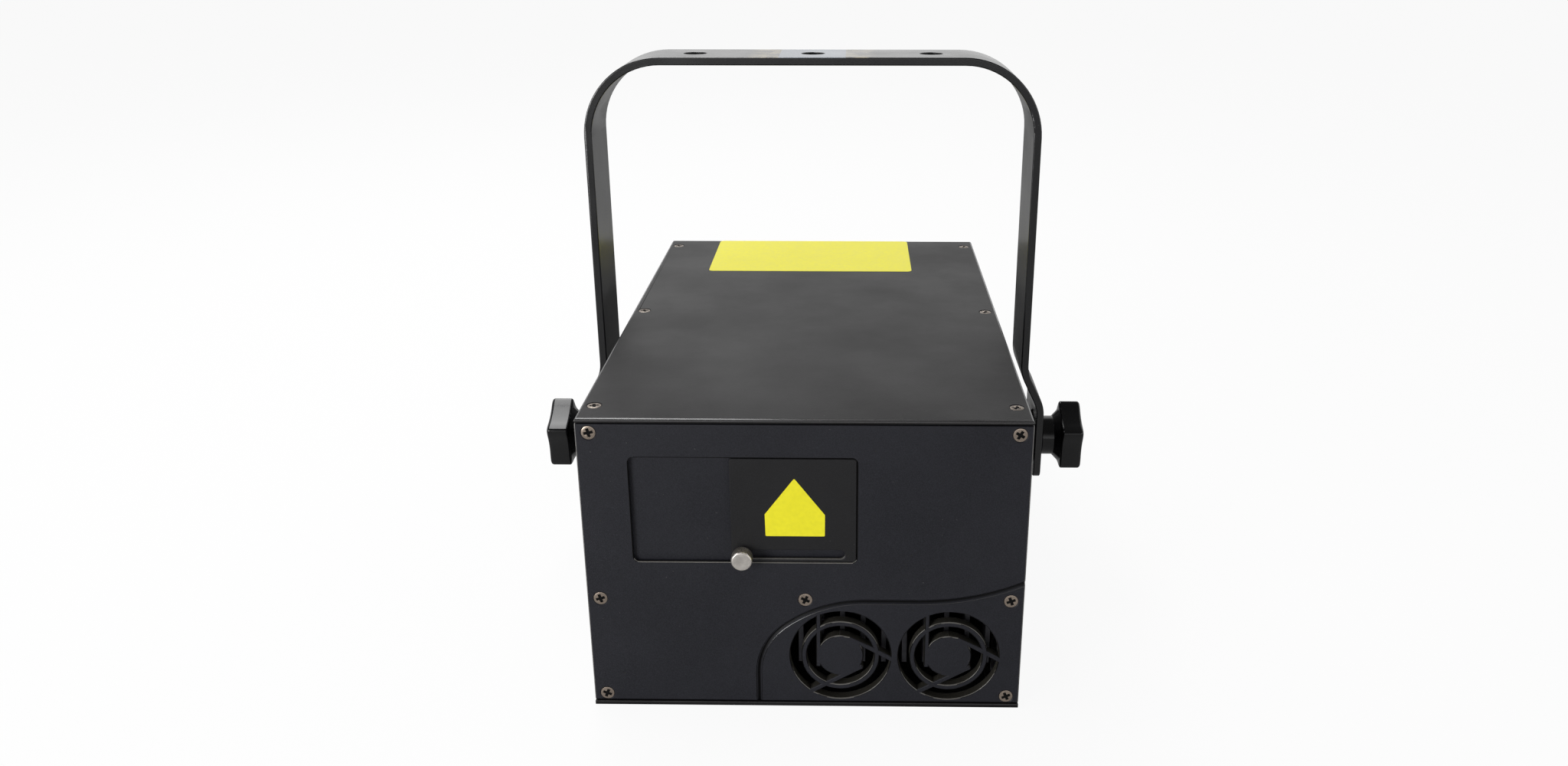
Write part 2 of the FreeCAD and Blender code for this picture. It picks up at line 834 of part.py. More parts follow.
def make_clinch_nuts():
    nuts = []
    for _, sign in BOTH_SIDES:
        middle = (sign * screw_x, 0)
        for span in ((post_bottom, post_bottom + dims.clinch_nut_height),
                     (post_top - dims.clinch_nut_height, post_top)):
            bore = (span[0] - dims.overrun, span[1] + dims.overrun)
            nuts.append(cut(cylinder("z", middle, span, dims.clinch_nut_radius),
                            cylinder("z", middle, bore, dims.screw_radius + dims.screw_clearance)))
    node("clinch_nuts", group(*nuts))


def turned(x, z, angle):
    """A point turned about the Y axis, anticlockwise as seen from the front."""
    cosine_share = math.cos(math.radians(angle))
    sine_share = math.sin(math.radians(angle))
    return x * cosine_share - z * sine_share, x * sine_share + z * cosine_share


def grille_slots(grille_x):
    """Two rings of slots parted by three straight spokes that run tangent to the middle disc."""
    run = (front_face - dims.overrun, front_back + dims.overrun)
    middle = (0, 0)
    outer = cut(cylinder("y", middle, run, dims.grille_radius),
                cylinder("y", middle, run, dims.grille_ring_outer))
    inner = cut(cylinder("y", middle, run, dims.grille_ring_inner),
                cylinder("y", middle, run, dims.grille_disc_radius))
    spokes = []
    for angle in SPOKE_ANGLES:
        spoke = doc.addObject("Part::Box", "spoke")
        bind(spoke, "Length", dims.grille_spoke_width)
        bind(spoke, "Width", run[1] - run[0])
        bind(spoke, "Height", dims.grille_radius + dims.grille_spoke_tail)
        spoke.Placement.Rotation = FreeCAD.Rotation(Vector(0, -1, 0), angle)
        edge = -dims.grille_spoke_offset - dims.grille_spoke_width / 2
        corner = turned(edge, -dims.grille_spoke_tail, angle)
        spokes.append(place(spoke, (corner[0], run[0], corner[1])))
    slots = cut(fuse(outer, inner), *spokes)
    return place(slots, (grille_x, 0, dims.grille_height))


def widened(span, border):
    return span[0] - border, span[1] + border


def make_front_panel():
    """Thick plate with the shutter recess, the aperture, the S-shaped groove and two swirl grilles."""
    body = new_body()
    sketch = sketch_on(body, "XZ_Plane", half_depth)
    add_rectangle(sketch, (-half_width, half_width), (panel_bottom, panel_top))
    plate = pad(body, sketch, dims.front_thickness, reverse=True)
    round_edges(body, plate, dims.front_edge_round, lambda edge: flat_at(edge, "y", front_face))
    recess = sketch_on(body, "XZ_Plane", half_depth)
    add_rectangle(recess, (dims.recess_left, dims.recess_right), (recess_bottom, recess_top),
                  dims.recess_round)
    pocket(body, recess, dims.recess_depth)
    aperture = sketch_on(body, "XZ_Plane", half_depth)
    add_rectangle(aperture, aperture_x, aperture_z, dims.aperture_round)
    pocket(body, aperture)
    seat = sketch_on(body, "XZ_Plane", -front_back)
    add_rectangle(seat, widened(aperture_x, dims.window_border), widened(aperture_z, dims.window_border),
                  dims.aperture_round)
    pocket(body, seat, dims.window_thickness, reverse=True)
    thumb = sketch_on(body, "XZ_Plane", half_depth)
    add_circle(thumb, thumb_x, thumb_z, dims.thumb_shank_radius + dims.turn_clearance)
    pocket(body, thumb)
    path = sketch_on(body, "XZ_Plane", half_depth)
    add_outline(path, [
        (dims.groove_left, -dims.base_thickness, None),
        (dims.groove_left, dims.groove_rise_low, dims.groove_low_round),
        (dims.groove_knee, dims.groove_level, dims.groove_knee_round),
        (half_width - dims.groove_bend_inset, dims.groove_level, dims.groove_bend_round),
        (half_width + dims.flange_width, dims.groove_exit, None)], closed=False)
    wedge = sketch_on(body, "XY_Plane", -dims.base_thickness)
    flare = dims.groove_half_width * 2
    add_outline(wedge, [
        (dims.groove_left, front_face + dims.groove_depth, None),
        (dims.groove_left - flare, front_face - dims.groove_depth, None),
        (dims.groove_left + flare, front_face - dims.groove_depth, None)])
    doc.recompute()
    groove = body.newObject("PartDesign::SubtractivePipe", "groove")
    groove.Profile = wedge
    groove.Spine = path
    doc.recompute()
    countersunk_holes(body, "XZ_Plane", half_depth, front_screw_points)
    node("front_panel", cut(body, grille_slots(grille_left), grille_slots(grille_right)))


def make_window():
    window = new_body()
    sketch = sketch_on(window, "XZ_Plane", -front_back)
    inset = dims.window_border - dims.seat_clearance
    add_rectangle(sketch, widened(aperture_x, inset), widened(aperture_z, inset), dims.aperture_round)
    pad(window, sketch, dims.window_thickness)
    node("aperture_window", window)
    retainer = new_body()
    frame = sketch_on(retainer, "XZ_Plane", -front_back)
    border = dims.retainer_border
    add_rectangle(frame, widened(aperture_x, border), widened(aperture_z, border), dims.aperture_round)
    add_rectangle(frame, aperture_x, aperture_z, dims.aperture_round)
    pad(retainer, frame, dims.retainer_thickness, reverse=True)
    node("window_retainer", retainer)


def make_shutter():
    """The plate that slides in the recess; its slot runs on the thumbscrew's shank."""
    right = dims.recess_right - dims.slide_clearance
    left = right - dims.shutter_width
    face = front_face + dims.shutter_sink
    body = new_body()
    sketch = sketch_on(body, "XZ_Plane", -face)
    add_rectangle(sketch, (left, right),
                  (recess_bottom + dims.slide_clearance, recess_top - dims.slide_clearance),
                  dims.shutter_round)
    plate = pad(body, sketch, dims.shutter_thickness, reverse=True)
    round_edges(body, plate, dims.shutter_edge_round, lambda edge: flat_at(edge, "y", face))
    slot = sketch_on(body, "XZ_Plane", -face)
    add_slot(slot, (thumb_x, thumb_x + dims.shutter_travel), thumb_z, dims.slot_radius)
    pocket(body, slot)
    node("shutter_plate", body)


def make_thumbscrew():
    start = front_face - dims.turn_clearance
    collar = start - dims.thumb_collar_length
    end = start - dims.thumb_length
    middle = (thumb_x, thumb_z)
    node("thumbscrew", fuse(
        cylinder("y", middle, (start, front_back - dims.seat_clearance), dims.thumb_shank_radius),
        cylinder("y", middle, (collar, start), dims.thumb_collar_radius),
        cylinder("y", middle, (end + dims.thumb_edge, collar), dims.thumb_radius),
        cone("y", middle, (end, end + dims.thumb_edge),
             (dims.thumb_radius - dims.thumb_edge, dims.thumb_radius))))


def make_yoke():
    """A flat bar bent into a U, set outwards at the pivots, with three fixing holes."""
    half_bar = dims.yoke_bar_thickness / 2
    leg = yoke_leg_outer - half_bar
    foot = yoke_pad_outer - half_bar
    top = yoke_top - half_bar
    end = pivot_height - dims.yoke_end_drop
    body = new_body()
    path = sketch_on(body, "XZ_Plane")
    add_outline(path, [
        (foot, end, None),
        (foot, joggle_bottom, dims.yoke_joggle_round),
        (leg, joggle_top, dims.yoke_joggle_round),
        (leg, top, dims.yoke_corner_round),
        (-leg, top, dims.yoke_corner_round),
        (-leg, joggle_top, dims.yoke_joggle_round),
        (-foot, joggle_bottom, dims.yoke_joggle_round),
        (-foot, end, None)], closed=False)
    section = sketch_on(body, "XY_Plane", end)
    half_width_bar = dims.yoke_bar_width / 2
    add_rectangle(section, (foot - half_bar, foot + half_bar), (-half_width_bar, half_width_bar))
    doc.recompute()
    bar = body.newObject("PartDesign::AdditivePipe", "bar")
    bar.Profile = section
    bar.Spine = path
    doc.recompute()
    holes = sketch_on(body, "XY_Plane", yoke_top)
    for x in (-dims.yoke_hole_spacing, 0, dims.yoke_hole_spacing):
        add_circle(holes, x, 0, dims.yoke_hole_radius)
    pocket(body, holes, dims.yoke_bar_thickness + dims.overrun)
    studs = sketch_on(body, "YZ_Plane", yoke_pad_outer)
    add_circle(studs, 0, pivot_height, dims.stud_hole_radius)
    bored = pocket(body, studs)
    ends = round_edges(body, bored, dims.yoke_end_round, lambda edge: flat_at(edge, "z", end)
                       and edge.BoundBox.YLength < SAME_PLACE)
    round_edges(body, ends, dims.yoke_edge_round, lambda edge: flat_at(edge, "y", half_width_bar)
                or flat_at(edge, "y", -half_width_bar))
    node("yoke", body)


def make_pivots():
    nuts = []
    washers = []
    for side, sign in BOTH_SIDES:
        middle = (0, pivot_height)
        pad_inner = yoke_pad_outer - dims.yoke_bar_thickness
        outer = pad_inner - dims.turn_clearance
        boss_end = outer - dims.boss_edge
        tip = side_inner - dims.boss_spigot_length
        thread_radius = dims.stud_radius + dims.turn_clearance
        boss = fuse(
            cylinder("x", middle, mirrored(sign, half_width, boss_end), dims.boss_radius),
            cone("x", middle, mirrored(sign, boss_end, outer),
                 (dims.boss_radius, dims.boss_radius - dims.boss_edge)[::sign]),
            cylinder("x", middle, mirrored(sign, tip, half_width), dims.boss_spigot_radius))
        thread = mirrored(sign, outer - dims.boss_thread_depth, outer + dims.overrun)
        node(f"pivot_boss_{side}", cut(boss, cylinder("x", middle, thread, thread_radius)))
        nut = doc.addObject("Part::Prism", "nut")
        nut.Polygon = 6
        bind(nut, "Circumradius", dims.nut_flat_radius * (2 / math.sqrt(3)))
        bind(nut, "Height", dims.nut_thickness)
        nut.Placement.Rotation = AXIS_TURNS["x"]
        nut_span = mirrored(sign, side_inner - dims.nut_thickness, side_inner)
        place(nut, along("x", nut_span[0], middle))
        bore = cylinder("x", middle, widened(nut_span, dims.overrun),
                        dims.boss_spigot_radius + dims.screw_clearance)
        nuts.append(cut(nut, bore))
        washer_span = mirrored(sign, yoke_pad_outer + dims.turn_clearance,
                               yoke_pad_outer + dims.turn_clearance + dims.washer_thickness)
        washers.append(cut(cylinder("x", middle, washer_span, dims.washer_radius),
                           cylinder("x", middle, widened(washer_span, dims.overrun), dims.stud_hole_radius)))
    node("pivot_nuts", group(*nuts))
    node("knob_washers", group(*washers))


def make_knobs():
    """Five-sided grips: a neck, a conical underside, a rim with shallow scallops and a slightly dished end."""
    for side, sign in BOTH_SIDES:
        body = new_body()
        profile = sketch_on(body, "XZ_Plane")
        rim_start = dims.knob_neck_length + dims.knob_cone_length
        add_outline(profile, [
            (dims.stud_radius, 0, None),
            (dims.knob_neck_radius, 0, None),
            (dims.knob_neck_radius, dims.knob_neck_length, None),
            (dims.knob_radius, rim_start, dims.knob_rim_round / 2),
            (dims.knob_radius, dims.knob_length, dims.knob_rim_round),
            (dims.knob_dish_radius, dims.knob_length, None),
            (0, dims.knob_length - dims.knob_face_dish, None),
            (0, dims.knob_stud_socket, None),
            (dims.stud_radius, dims.knob_stud_socket, None)])
        doc.recompute()
        turn = body.newObject("PartDesign::Revolution", "turn")
        turn.Profile = profile
        turn.ReferenceAxis = (profile, ["V_Axis"])
        turn.Angle = 360
        doc.recompute()
        scallop = sketch_on(body, "XY_Plane", dims.knob_length + dims.overrun)
        up_share = -sign * math.sin(math.radians(KNOB_TURN))
        front_share = -math.cos(math.radians(KNOB_TURN))
        add_circle(scallop, dims.knob_scallop_distance * up_share, dims.knob_scallop_distance * front_share,
                   dims.knob_scallop_radius)
        first = pocket(body, scallop, dims.knob_length - dims.knob_neck_length + dims.overrun)
        lobes = body.newObject("PartDesign::PolarPattern", "lobes")
        lobes.Originals = [first]
        lobes.Axis = (profile, ["V_Axis"])
        lobes.Angle = 360
        lobes.Occurrences = KNOB_LOBES
        body.Tip = lobes
        doc.recompute()
        start = yoke_pad_outer + dims.turn_clearance * 2 + dims.washer_thickness
        body.Placement.Rotation = FreeCAD.Rotation(Vector(0, sign, 0), 90)
        place(body, (sign * start, 0, pivot_height))
        node(f"knob_{side}", body)
        middle = (0, pivot_height)
        stud_span = mirrored(sign, start - dims.stud_length, start + dims.knob_stud_socket)
        node(f"knob_stud_{side}", cylinder("x", middle, stud_span, dims.stud_radius))


def make_heat_sink():
    body = new_body()
    sketch = sketch_on(body, "XZ_Plane", -sink_front)
    half_sink = dims.sink_width / 2
    base_bottom = dims.plate_bottom - dims.sink_base
    add_rectangle(sketch, (sink_middle - half_sink, sink_middle + half_sink),
                  (base_bottom, dims.plate_bottom))
    pad(body, sketch, dims.sink_rear - sink_front, reverse=True)
    fin_sketch = sketch_on(body, "XZ_Plane", -sink_front)
    first_fin = sink_middle - dims.fin_pitch * ((FIN_COUNT - 1) / 2)
    half_fin = dims.fin_thickness / 2
    add_rectangle(fin_sketch, (first_fin - half_fin, first_fin + half_fin), (dims.fin_bottom, base_bottom))
    fin = pad(body, fin_sketch, dims.sink_rear - sink_front, reverse=True)
    fins = body.newObject("PartDesign::LinearPattern", "fins")
    fins.Originals = [fin]
    fins.Direction = (fin_sketch, ["H_Axis"])
    fins.Occurrences = FIN_COUNT
    bind(fins, "Length", dims.fin_pitch * (FIN_COUNT - 1))
    body.Tip = fins
    doc.recompute()
    node("heat_sink", body)


def make_optical_plate():
    edge = side_inner - dims.plate_side_gap
    plate = box((-edge, edge), (front_back, dims.plate_rear), (dims.plate_bottom, plate_top))
    tools = []
    for _, sign in BOTH_SIDES:
        notch = mirrored(sign, post_inner - dims.seat_clearance, half_width)
        tools.append(box(notch, (front_face, front_back + dims.post_depth + dims.seat_clearance),
                         (dims.plate_bottom - dims.overrun, plate_top + dims.overrun)))
    tools.append(cylinder("y", (0, screw_middle), (front_face, front_face + dims.screw_length * 2),
                          dims.screw_radius + dims.screw_clearance))
    node("optical_plate", cut(plate, *tools))
    rails = []
    for _, sign in BOTH_SIDES:
        run = (front_back + dims.post_depth + dims.seat_clearance, dims.plate_rear)
        shelf = box(mirrored(sign, side_inner - dims.rail_width, side_inner), run,
                    (dims.plate_bottom - dims.rail_thickness, dims.plate_bottom))
        web = box(mirrored(sign, side_inner - dims.rail_thickness, side_inner), run,
                  (dims.plate_bottom - dims.rail_drop, dims.plate_bottom))
        rails.append(fuse(shelf, web))
    node("plate_rails", group(*rails))


def make_fans():
    """Axial fans screwed to the rear ends of the fins: square frame, three struts and a bladed rotor."""
    start = dims.sink_rear
    end = start + dims.fan_depth
    strut_start = end - dims.fan_strut_depth
    for side, x in (("left", grille_left), ("right", grille_right)):
        middle = (x, dims.grille_height)
        half = dims.fan_size / 2
        body = new_body()
        sketch = sketch_on(body, "XZ_Plane", -start)
        add_rectangle(sketch, (x - half, x + half), (dims.grille_height - half, dims.grille_height + half),
                      dims.fan_corner_round)
        add_circle(sketch, x, dims.grille_height, dims.fan_bore_radius)
        pad(body, sketch, dims.fan_depth, reverse=True)
        holes = sketch_on(body, "XZ_Plane", -start)
        reach = half - dims.fan_screw_inset
        for _, across in BOTH_SIDES:
            for _, up in BOTH_SIDES:
                add_circle(holes, x + across * reach, dims.grille_height + up * reach, dims.fan_screw_hole)
        pocket(body, holes)
        struts = []
        for angle in STRUT_ANGLES:
            strut = doc.addObject("Part::Box", "strut")
            bind(strut, "Length", dims.fan_bore_radius + dims.seat_clearance)
            bind(strut, "Width", dims.fan_strut_depth)
            bind(strut, "Height", dims.fan_strut_width)
            strut.Placement.Rotation = FreeCAD.Rotation(Vector(0, -1, 0), angle)
            corner = turned(0, -dims.fan_strut_width / 2, angle)
            struts.append(place(strut, (x + corner[0], strut_start, dims.grille_height + corner[1])))
        hub = cylinder("y", middle, (strut_start, end), dims.fan_hub_radius)
        pin_start = start + dims.fan_rotor_gap + dims.fan_hub_wall + dims.seat_clearance
        pin = cylinder("y", middle, (pin_start, strut_start), dims.fan_pin_radius)
        node(f"fan_frame_{side}", fuse(body, hub, pin, *struts))
        make_fan_rotor(side, middle, start + dims.fan_rotor_gap, strut_start - dims.fan_rotor_gap)


def make_fan_rotor(side, middle, front, back):
    cup = cut(cylinder("y", middle, (front, back), dims.fan_hub_radius),
              cylinder("y", middle, (front + dims.fan_hub_wall, back + dims.overrun),
                       dims.fan_pin_radius + dims.turn_clearance))
    blades = []
    chord = dims.fan_blade_chord
    for k in range(BLADE_COUNT):
        blade = doc.addObject("Part::Box", "blade")
        bind(blade, "Length", dims.fan_bore_radius)
        bind(blade, "Width", chord)
        bind(blade, "Height", dims.fan_blade_thickness)
        tilt = FreeCAD.Rotation(Vector(1, 0, 0), BLADE_PITCH)
        spin = FreeCAD.Rotation(Vector(0, -1, 0), 360 * k / BLADE_COUNT)
        blade.Placement.Rotation = spin.multiply(tilt)
        shift_y_share, shift_z_share = (-math.cos(math.radians(BLADE_PITCH)) / 2,
                                        -math.sin(math.radians(BLADE_PITCH)) / 2)
        corner = turned(0, chord * shift_z_share, 360 * k / BLADE_COUNT)
        blades.append(place(blade, (
            middle[0] + corner[0], (front + back) / 2 + chord * shift_y_share, middle[1] + corner[1])))
    sweep = cut(cylinder("y", middle, (front, back), dims.fan_bore_radius - dims.fan_tip_gap),
                cylinder("y", middle, (front - dims.overrun, back + dims.overrun),
                         dims.fan_hub_radius - dims.fan_hub_wall / 2))
    node(f"fan_rotor_{side}", fuse(cup, common(fuse(*blades), sweep)))


def make_lasers():
    """Three laser modules, each facing a dichroic mirror that turns its beam to the scanner."""
    mounts = []
    mirrors = []
    for k, colour in enumerate(("red", "green", "blue")):
        x = lasers_left + laser_width / 2 + laser_pitch * k
        half = laser_width / 2
        back = dims.laser_front + dims.laser_length
        top = beam_height + dims.laser_over
        block = box((x - half, x + half), (dims.laser_front, back), (plate_top, top))
        barrel_front = dims.laser_front - dims.barrel_length
        barrel = cylinder("y", (x, beam_height), (barrel_front, dims.laser_front), dims.barrel_radius)
        bore = cylinder("y", (x, beam_height), (barrel_front - dims.overrun, dims.laser_front),
                        dims.barrel_bore)
        grooves = []
        for g in range(LASER_GROOVES):
            start = back - dims.laser_groove_pitch * (g + 1)
            grooves.append(box((x - half - dims.overrun, x + half + dims.overrun),
                               (start, start + dims.laser_groove),
                               (top - dims.laser_groove_depth, top + dims.overrun)))
        node(f"{colour}_laser", cut(fuse(block, barrel), bore, *grooves))
        eighth_turn = FreeCAD.Rotation(Vector(0, 0, 1), 45)
        post = square_post(x, mount_size, mount_size, (plate_top, mount_top))
        slot = square_post(x, mount_size + dims.overrun, dims.mirror_thickness + dims.screw_clearance,
                           (mirror_bottom, mount_top + dims.overrun))
        glass = square_post(x, mount_size - dims.mirror_inset, dims.mirror_thickness,
                            (mirror_bottom, mirror_bottom + dims.mirror_rise))
        for piece in (post, slot, glass):
            piece.Placement.Rotation = eighth_turn
        mounts.append(cut(post, slot))
        mirrors.append(glass)
    node("dichroic_mounts", group(*mounts))
    node("dichroic_mirrors", group(*mirrors))


def square_post(x, length, width, z_span):
    """A block centred on the combined beam's line at x and turned an eighth of a turn about Z."""
    solid = doc.addObject("Part::Box", "post")
    bind(solid, "Length", length)
    bind(solid, "Width", width)
    bind(solid, "Height", z_span[1] - z_span[0])
    diagonal_share = math.sqrt(0.5) / 2
    return place(solid, (x - (length - width) * diagonal_share,
                         dims.combiner_front - (length + width) * diagonal_share, z_span[0]))


def make_scanner():
    """The block with two galvo motors: one mirror sweeps the beam sideways, the next up and down."""
    bar_front = scan_y + dims.scanner_front_gap
    right = scan_x + dims.scanner_right
    top = aperture_height + dims.scanner_rise
    bar = box((scanner_left, right), (bar_front, bar_front + dims.scanner_bar_depth), (plate_top, top))
    arm = box((scan_x + dims.scanner_arm_gap, right), (scan_y - dims.scanner_arm_reach, bar_front),
              (plate_top, top))
    x_front = scan_y + dims.scan_mirror_gap
    y_front = scan_x + dims.scan_mirror_gap
    x_span = (x_front, x_front + dims.galvo_length)
    y_span = (y_front, y_front + dims.galvo_length)
    x_middle = (scan_x, beam_height)
    y_middle = (scan_y, aperture_height)
    seat_radius = dims.galvo_radius + dims.screw_clearance
    node("scanner_block", cut(fuse(bar, arm),
                              cylinder("y", x_middle, widened(x_span, dims.overrun), seat_radius),
                              cylinder("x", y_middle, widened(y_span, dims.overrun), seat_radius)))
    bearing_radius = dims.galvo_shaft_radius + dims.turn_clearance
    for name, axis, middle, span in (("x", "y", x_middle, x_span), ("y", "x", y_middle, y_span)):
        socket = (span[0] - dims.overrun, span[0] + dims.galvo_shaft_socket)
        node(f"{name}_galvo_motor", cut(cylinder(axis, middle, span, dims.galvo_radius),
                                        cylinder(axis, middle, socket, bearing_radius)))
    shaft_inset = dims.galvo_shaft_socket - dims.seat_clearance
    x_stub = scan_y + dims.x_scan_length / 2 - dims.scan_stub
    y_stub = scan_x + dims.y_scan_length / 2 - dims.scan_stub
    x_shaft = cylinder("y", x_middle, (x_stub, x_front + shaft_inset), dims.galvo_shaft_radius)
    y_shaft = cylinder("x", y_middle, (y_stub, y_front + shaft_inset), dims.galvo_shaft_radius)
    diagonal_share = math.sqrt(0.5)
    half_thickness = dims.scan_thickness / 2
    x_mirror = doc.addObject("Part::Box", "x_mirror")
    bind(x_mirror, "Length", dims.x_scan_width)
    bind(x_mirror, "Width", dims.x_scan_length)
    bind(x_mirror, "Height", dims.scan_thickness)
    x_mirror.Placement.Rotation = FreeCAD.Rotation(Vector(0, 1, 0), -45)
    half_x = dims.x_scan_width / 2
    place(x_mirror, (x_middle[0] - (half_x - half_thickness) * diagonal_share,
                     scan_y - dims.x_scan_length / 2,
                     x_middle[1] - (half_x + half_thickness) * diagonal_share))
    node("x_scan_mirror", fuse(x_mirror, x_shaft))
    y_mirror = doc.addObject("Part::Box", "y_mirror")
    bind(y_mirror, "Length", dims.y_scan_length)
    bind(y_mirror, "Width", dims.y_scan_width)
    bind(y_mirror, "Height", dims.scan_thickness)
    y_mirror.Placement.Rotation = FreeCAD.Rotation(Vector(1, 0, 0), -45)
    half_y = dims.y_scan_width / 2
    place(y_mirror, (scan_x - dims.y_scan_length / 2,
                     y_middle[0] - (half_y + half_thickness) * diagonal_share,
                     y_middle[1] + (half_y - half_thickness) * diagonal_share))
    node("y_scan_mirror", fuse(y_mirror, y_shaft))


def make_driver_board():
    board_left = side_inner - dims.driver_inset
    board_right = board_left + dims.board_thickness
    y_span = (dims.driver_front, dims.driver_rear)
    bottom = plate_top + dims.driver_lift
    top = cover_under - dims.driver_head_gap
    board = box((board_left, board_right), y_span, (bottom, top))
    parts = []
    for k in range(DRIVER_PARTS):
        start = dims.driver_front + dims.driver_part_size + dims.driver_part_pitch * k
        parts.append(box((board_left - dims.driver_part_depth, board_left),
                         (start, start + dims.driver_part_size),
                         (bottom + dims.driver_part_size, bottom + dims.driver_part_size * 2)))
    node("driver_board", fuse(board, *parts))
    upright = box((board_right, board_right + dims.driver_bracket_sheet), y_span,
                  (plate_top, top))
    foot = box((board_right, board_right + dims.driver_bracket_foot), y_span,
               (plate_top, plate_top + dims.driver_bracket_sheet))
    node("driver_bracket", fuse(upright, foot))


def make_power_supply():
    left = dims.supply_side_gap - side_inner
    right = sink_middle - dims.sink_width / 2 - dims.supply_sink_gap
    back = dims.supply_front + dims.supply_length
    top = floor_top + dims.supply_height
    case = box((left, right), (dims.supply_front, back), (floor_top, top))
    terminal = box((left + dims.terminal_length, right - dims.terminal_length),
                   (back, back + dims.terminal_length), (floor_top, floor_top + dims.terminal_height))
    vents = []
    for k in range(SUPPLY_VENTS):
        start = dims.supply_front + dims.supply_vent_inset + dims.supply_vent_pitch * k
        vents.append(box((left + dims.supply_vent_inset, right - dims.supply_vent_inset),
                         (start, start + dims.supply_vent_width),
                         (top - dims.supply_vent_depth, top + dims.overrun)))
    node("power_supply", cut(fuse(case, terminal), *vents))


board_back = rear_inner - dims.main_gap
button_xs = [display_x + dims.button_pitch * (k - (BUTTON_COUNT - 1) / 2) for k in range(BUTTON_COUNT)]
display_x_span = (display_left, display_left + dims.display_width)
display_z_span = (display_z - dims.display_rise / 2, display_z + dims.display_rise / 2)
button_back = rear_inner - dims.seat_clearance - dims.button_collar_length - dims.button_tail


def centred(middle, size):
    return middle - size / 2, middle + size / 2


def make_main_board():
    board = box((main_left, main_right), (board_back - dims.board_thickness, board_back),
                (main_bottom, main_top))
    screen = box(display_x_span, (board_back, rear_inner - dims.display_thickness - dims.seat_clearance),
                 display_z_span)
    switches = []
    for x in button_xs:
        switches.append(box(centred(x, dims.tact_size),
                            (board_back, button_back - dims.button_travel - dims.seat_clearance),
                            centred(button_z, dims.tact_size)))
    node("main_board", fuse(board, screen, *switches))
    standoffs = []
    for x in (main_left + dims.standoff_inset, main_right - dims.standoff_inset):
        for z in (main_bottom + dims.standoff_inset, main_top - dims.standoff_inset):
            standoffs.append(cylinder("y", (x, z), (board_back, rear_inner), dims.standoff_radius))
    node("board_standoffs", group(*standoffs))


inlet_x_span = centred(inlet_x, dims.inlet_width)
inlet_z_span = centred(dims.inlet_z, dims.inlet_rise)
switch_x_span = centred(switch_x, dims.switch_width)
switch_z_span = centred(dims.inlet_z, dims.switch_rise)
signal_x_span = centred(signal_x, dims.signal_body_width)
signal_z_span = centred(signal_z, dims.signal_body_rise)


def make_rear_panel():
    body = new_body()
    sketch = sketch_on(body, "XZ_Plane", -rear_face)
    add_rectangle(sketch, (-half_width, half_width), (panel_bottom, panel_top))
    plate = pad(body, sketch, dims.rear_thickness)
    round_edges(body, plate, dims.front_edge_round, lambda edge: flat_at(edge, "y", rear_face))
    openings = sketch_on(body, "XZ_Plane", -rear_face)
    gap = dims.seat_clearance
    for x_span, z_span in ((inlet_x_span, inlet_z_span), (switch_x_span, switch_z_span),
                           (signal_x_span, signal_z_span)):
        add_rectangle(openings, widened(x_span, gap), widened(z_span, gap))
    for x in (control_in_x, control_out_x):
        add_circle(openings, x, control_z, dims.control_body_radius + gap)
    add_circle(openings, key_x, key_z, dims.key_barrel_radius + gap)
    for x in button_xs:
        add_circle(openings, x, button_z, dims.button_radius + gap)
    for column in range(VENT_COLUMNS):
        start = vent_left + (vent_length + dims.vent_gap) * column
        for line in range(VENT_ROWS):
            add_slot(openings, (start, start + vent_length), dims.vent_bottom + dims.vent_pitch * line,
                     dims.vent_radius)
    pocket(body, openings, reverse=True)
    screen = sketch_on(body, "XZ_Plane", -rear_face)
    add_rectangle(screen, widened(display_x_span, gap), widened(display_z_span, gap))
    pocket(body, screen, dims.display_thickness, reverse=True)
    countersunk_holes(body, "XZ_Plane", -rear_face, rear_screw_points, reverse=True)
    node("rear_panel", body)
    node("display_window", box(display_x_span, (rear_face - dims.display_thickness, rear_face),
                               display_z_span))


def make_mains_inlet():
    lip = rear_face + dims.fitting_lip
    flange = new_body()
    sketch = sketch_on(flange, "XZ_Plane", -rear_face)
    add_rectangle(sketch, centred(inlet_x, dims.inlet_flange_width),
                  centred(dims.inlet_z, dims.inlet_flange_rise), dims.control_round)
    pad(flange, sketch, dims.fitting_lip, reverse=True)
    shell = box(inlet_x_span, (rear_face - dims.inlet_depth, rear_face), inlet_z_span)
    mouth = box(centred(inlet_x, dims.inlet_mouth_width),
                (lip - dims.inlet_mouth_depth, lip + dims.overrun),
                centred(dims.inlet_z, dims.inlet_mouth_rise))
    pins = []
    for shift, lift in ((-1, 0), (0, 1), (1, 0)):
        x = inlet_x + shift * dims.inlet_pin_spread
        z = dims.inlet_z + lift * dims.inlet_pin_rise - dims.inlet_pin_rise / 2
        floor = lip - dims.inlet_mouth_depth
        pins.append(box(centred(x, dims.inlet_pin_width), (floor, floor + dims.inlet_pin_length),
                        centred(z, dims.inlet_pin_rise)))
    node("mains_inlet", fuse(cut(fuse(flange, shell), mouth), *pins))


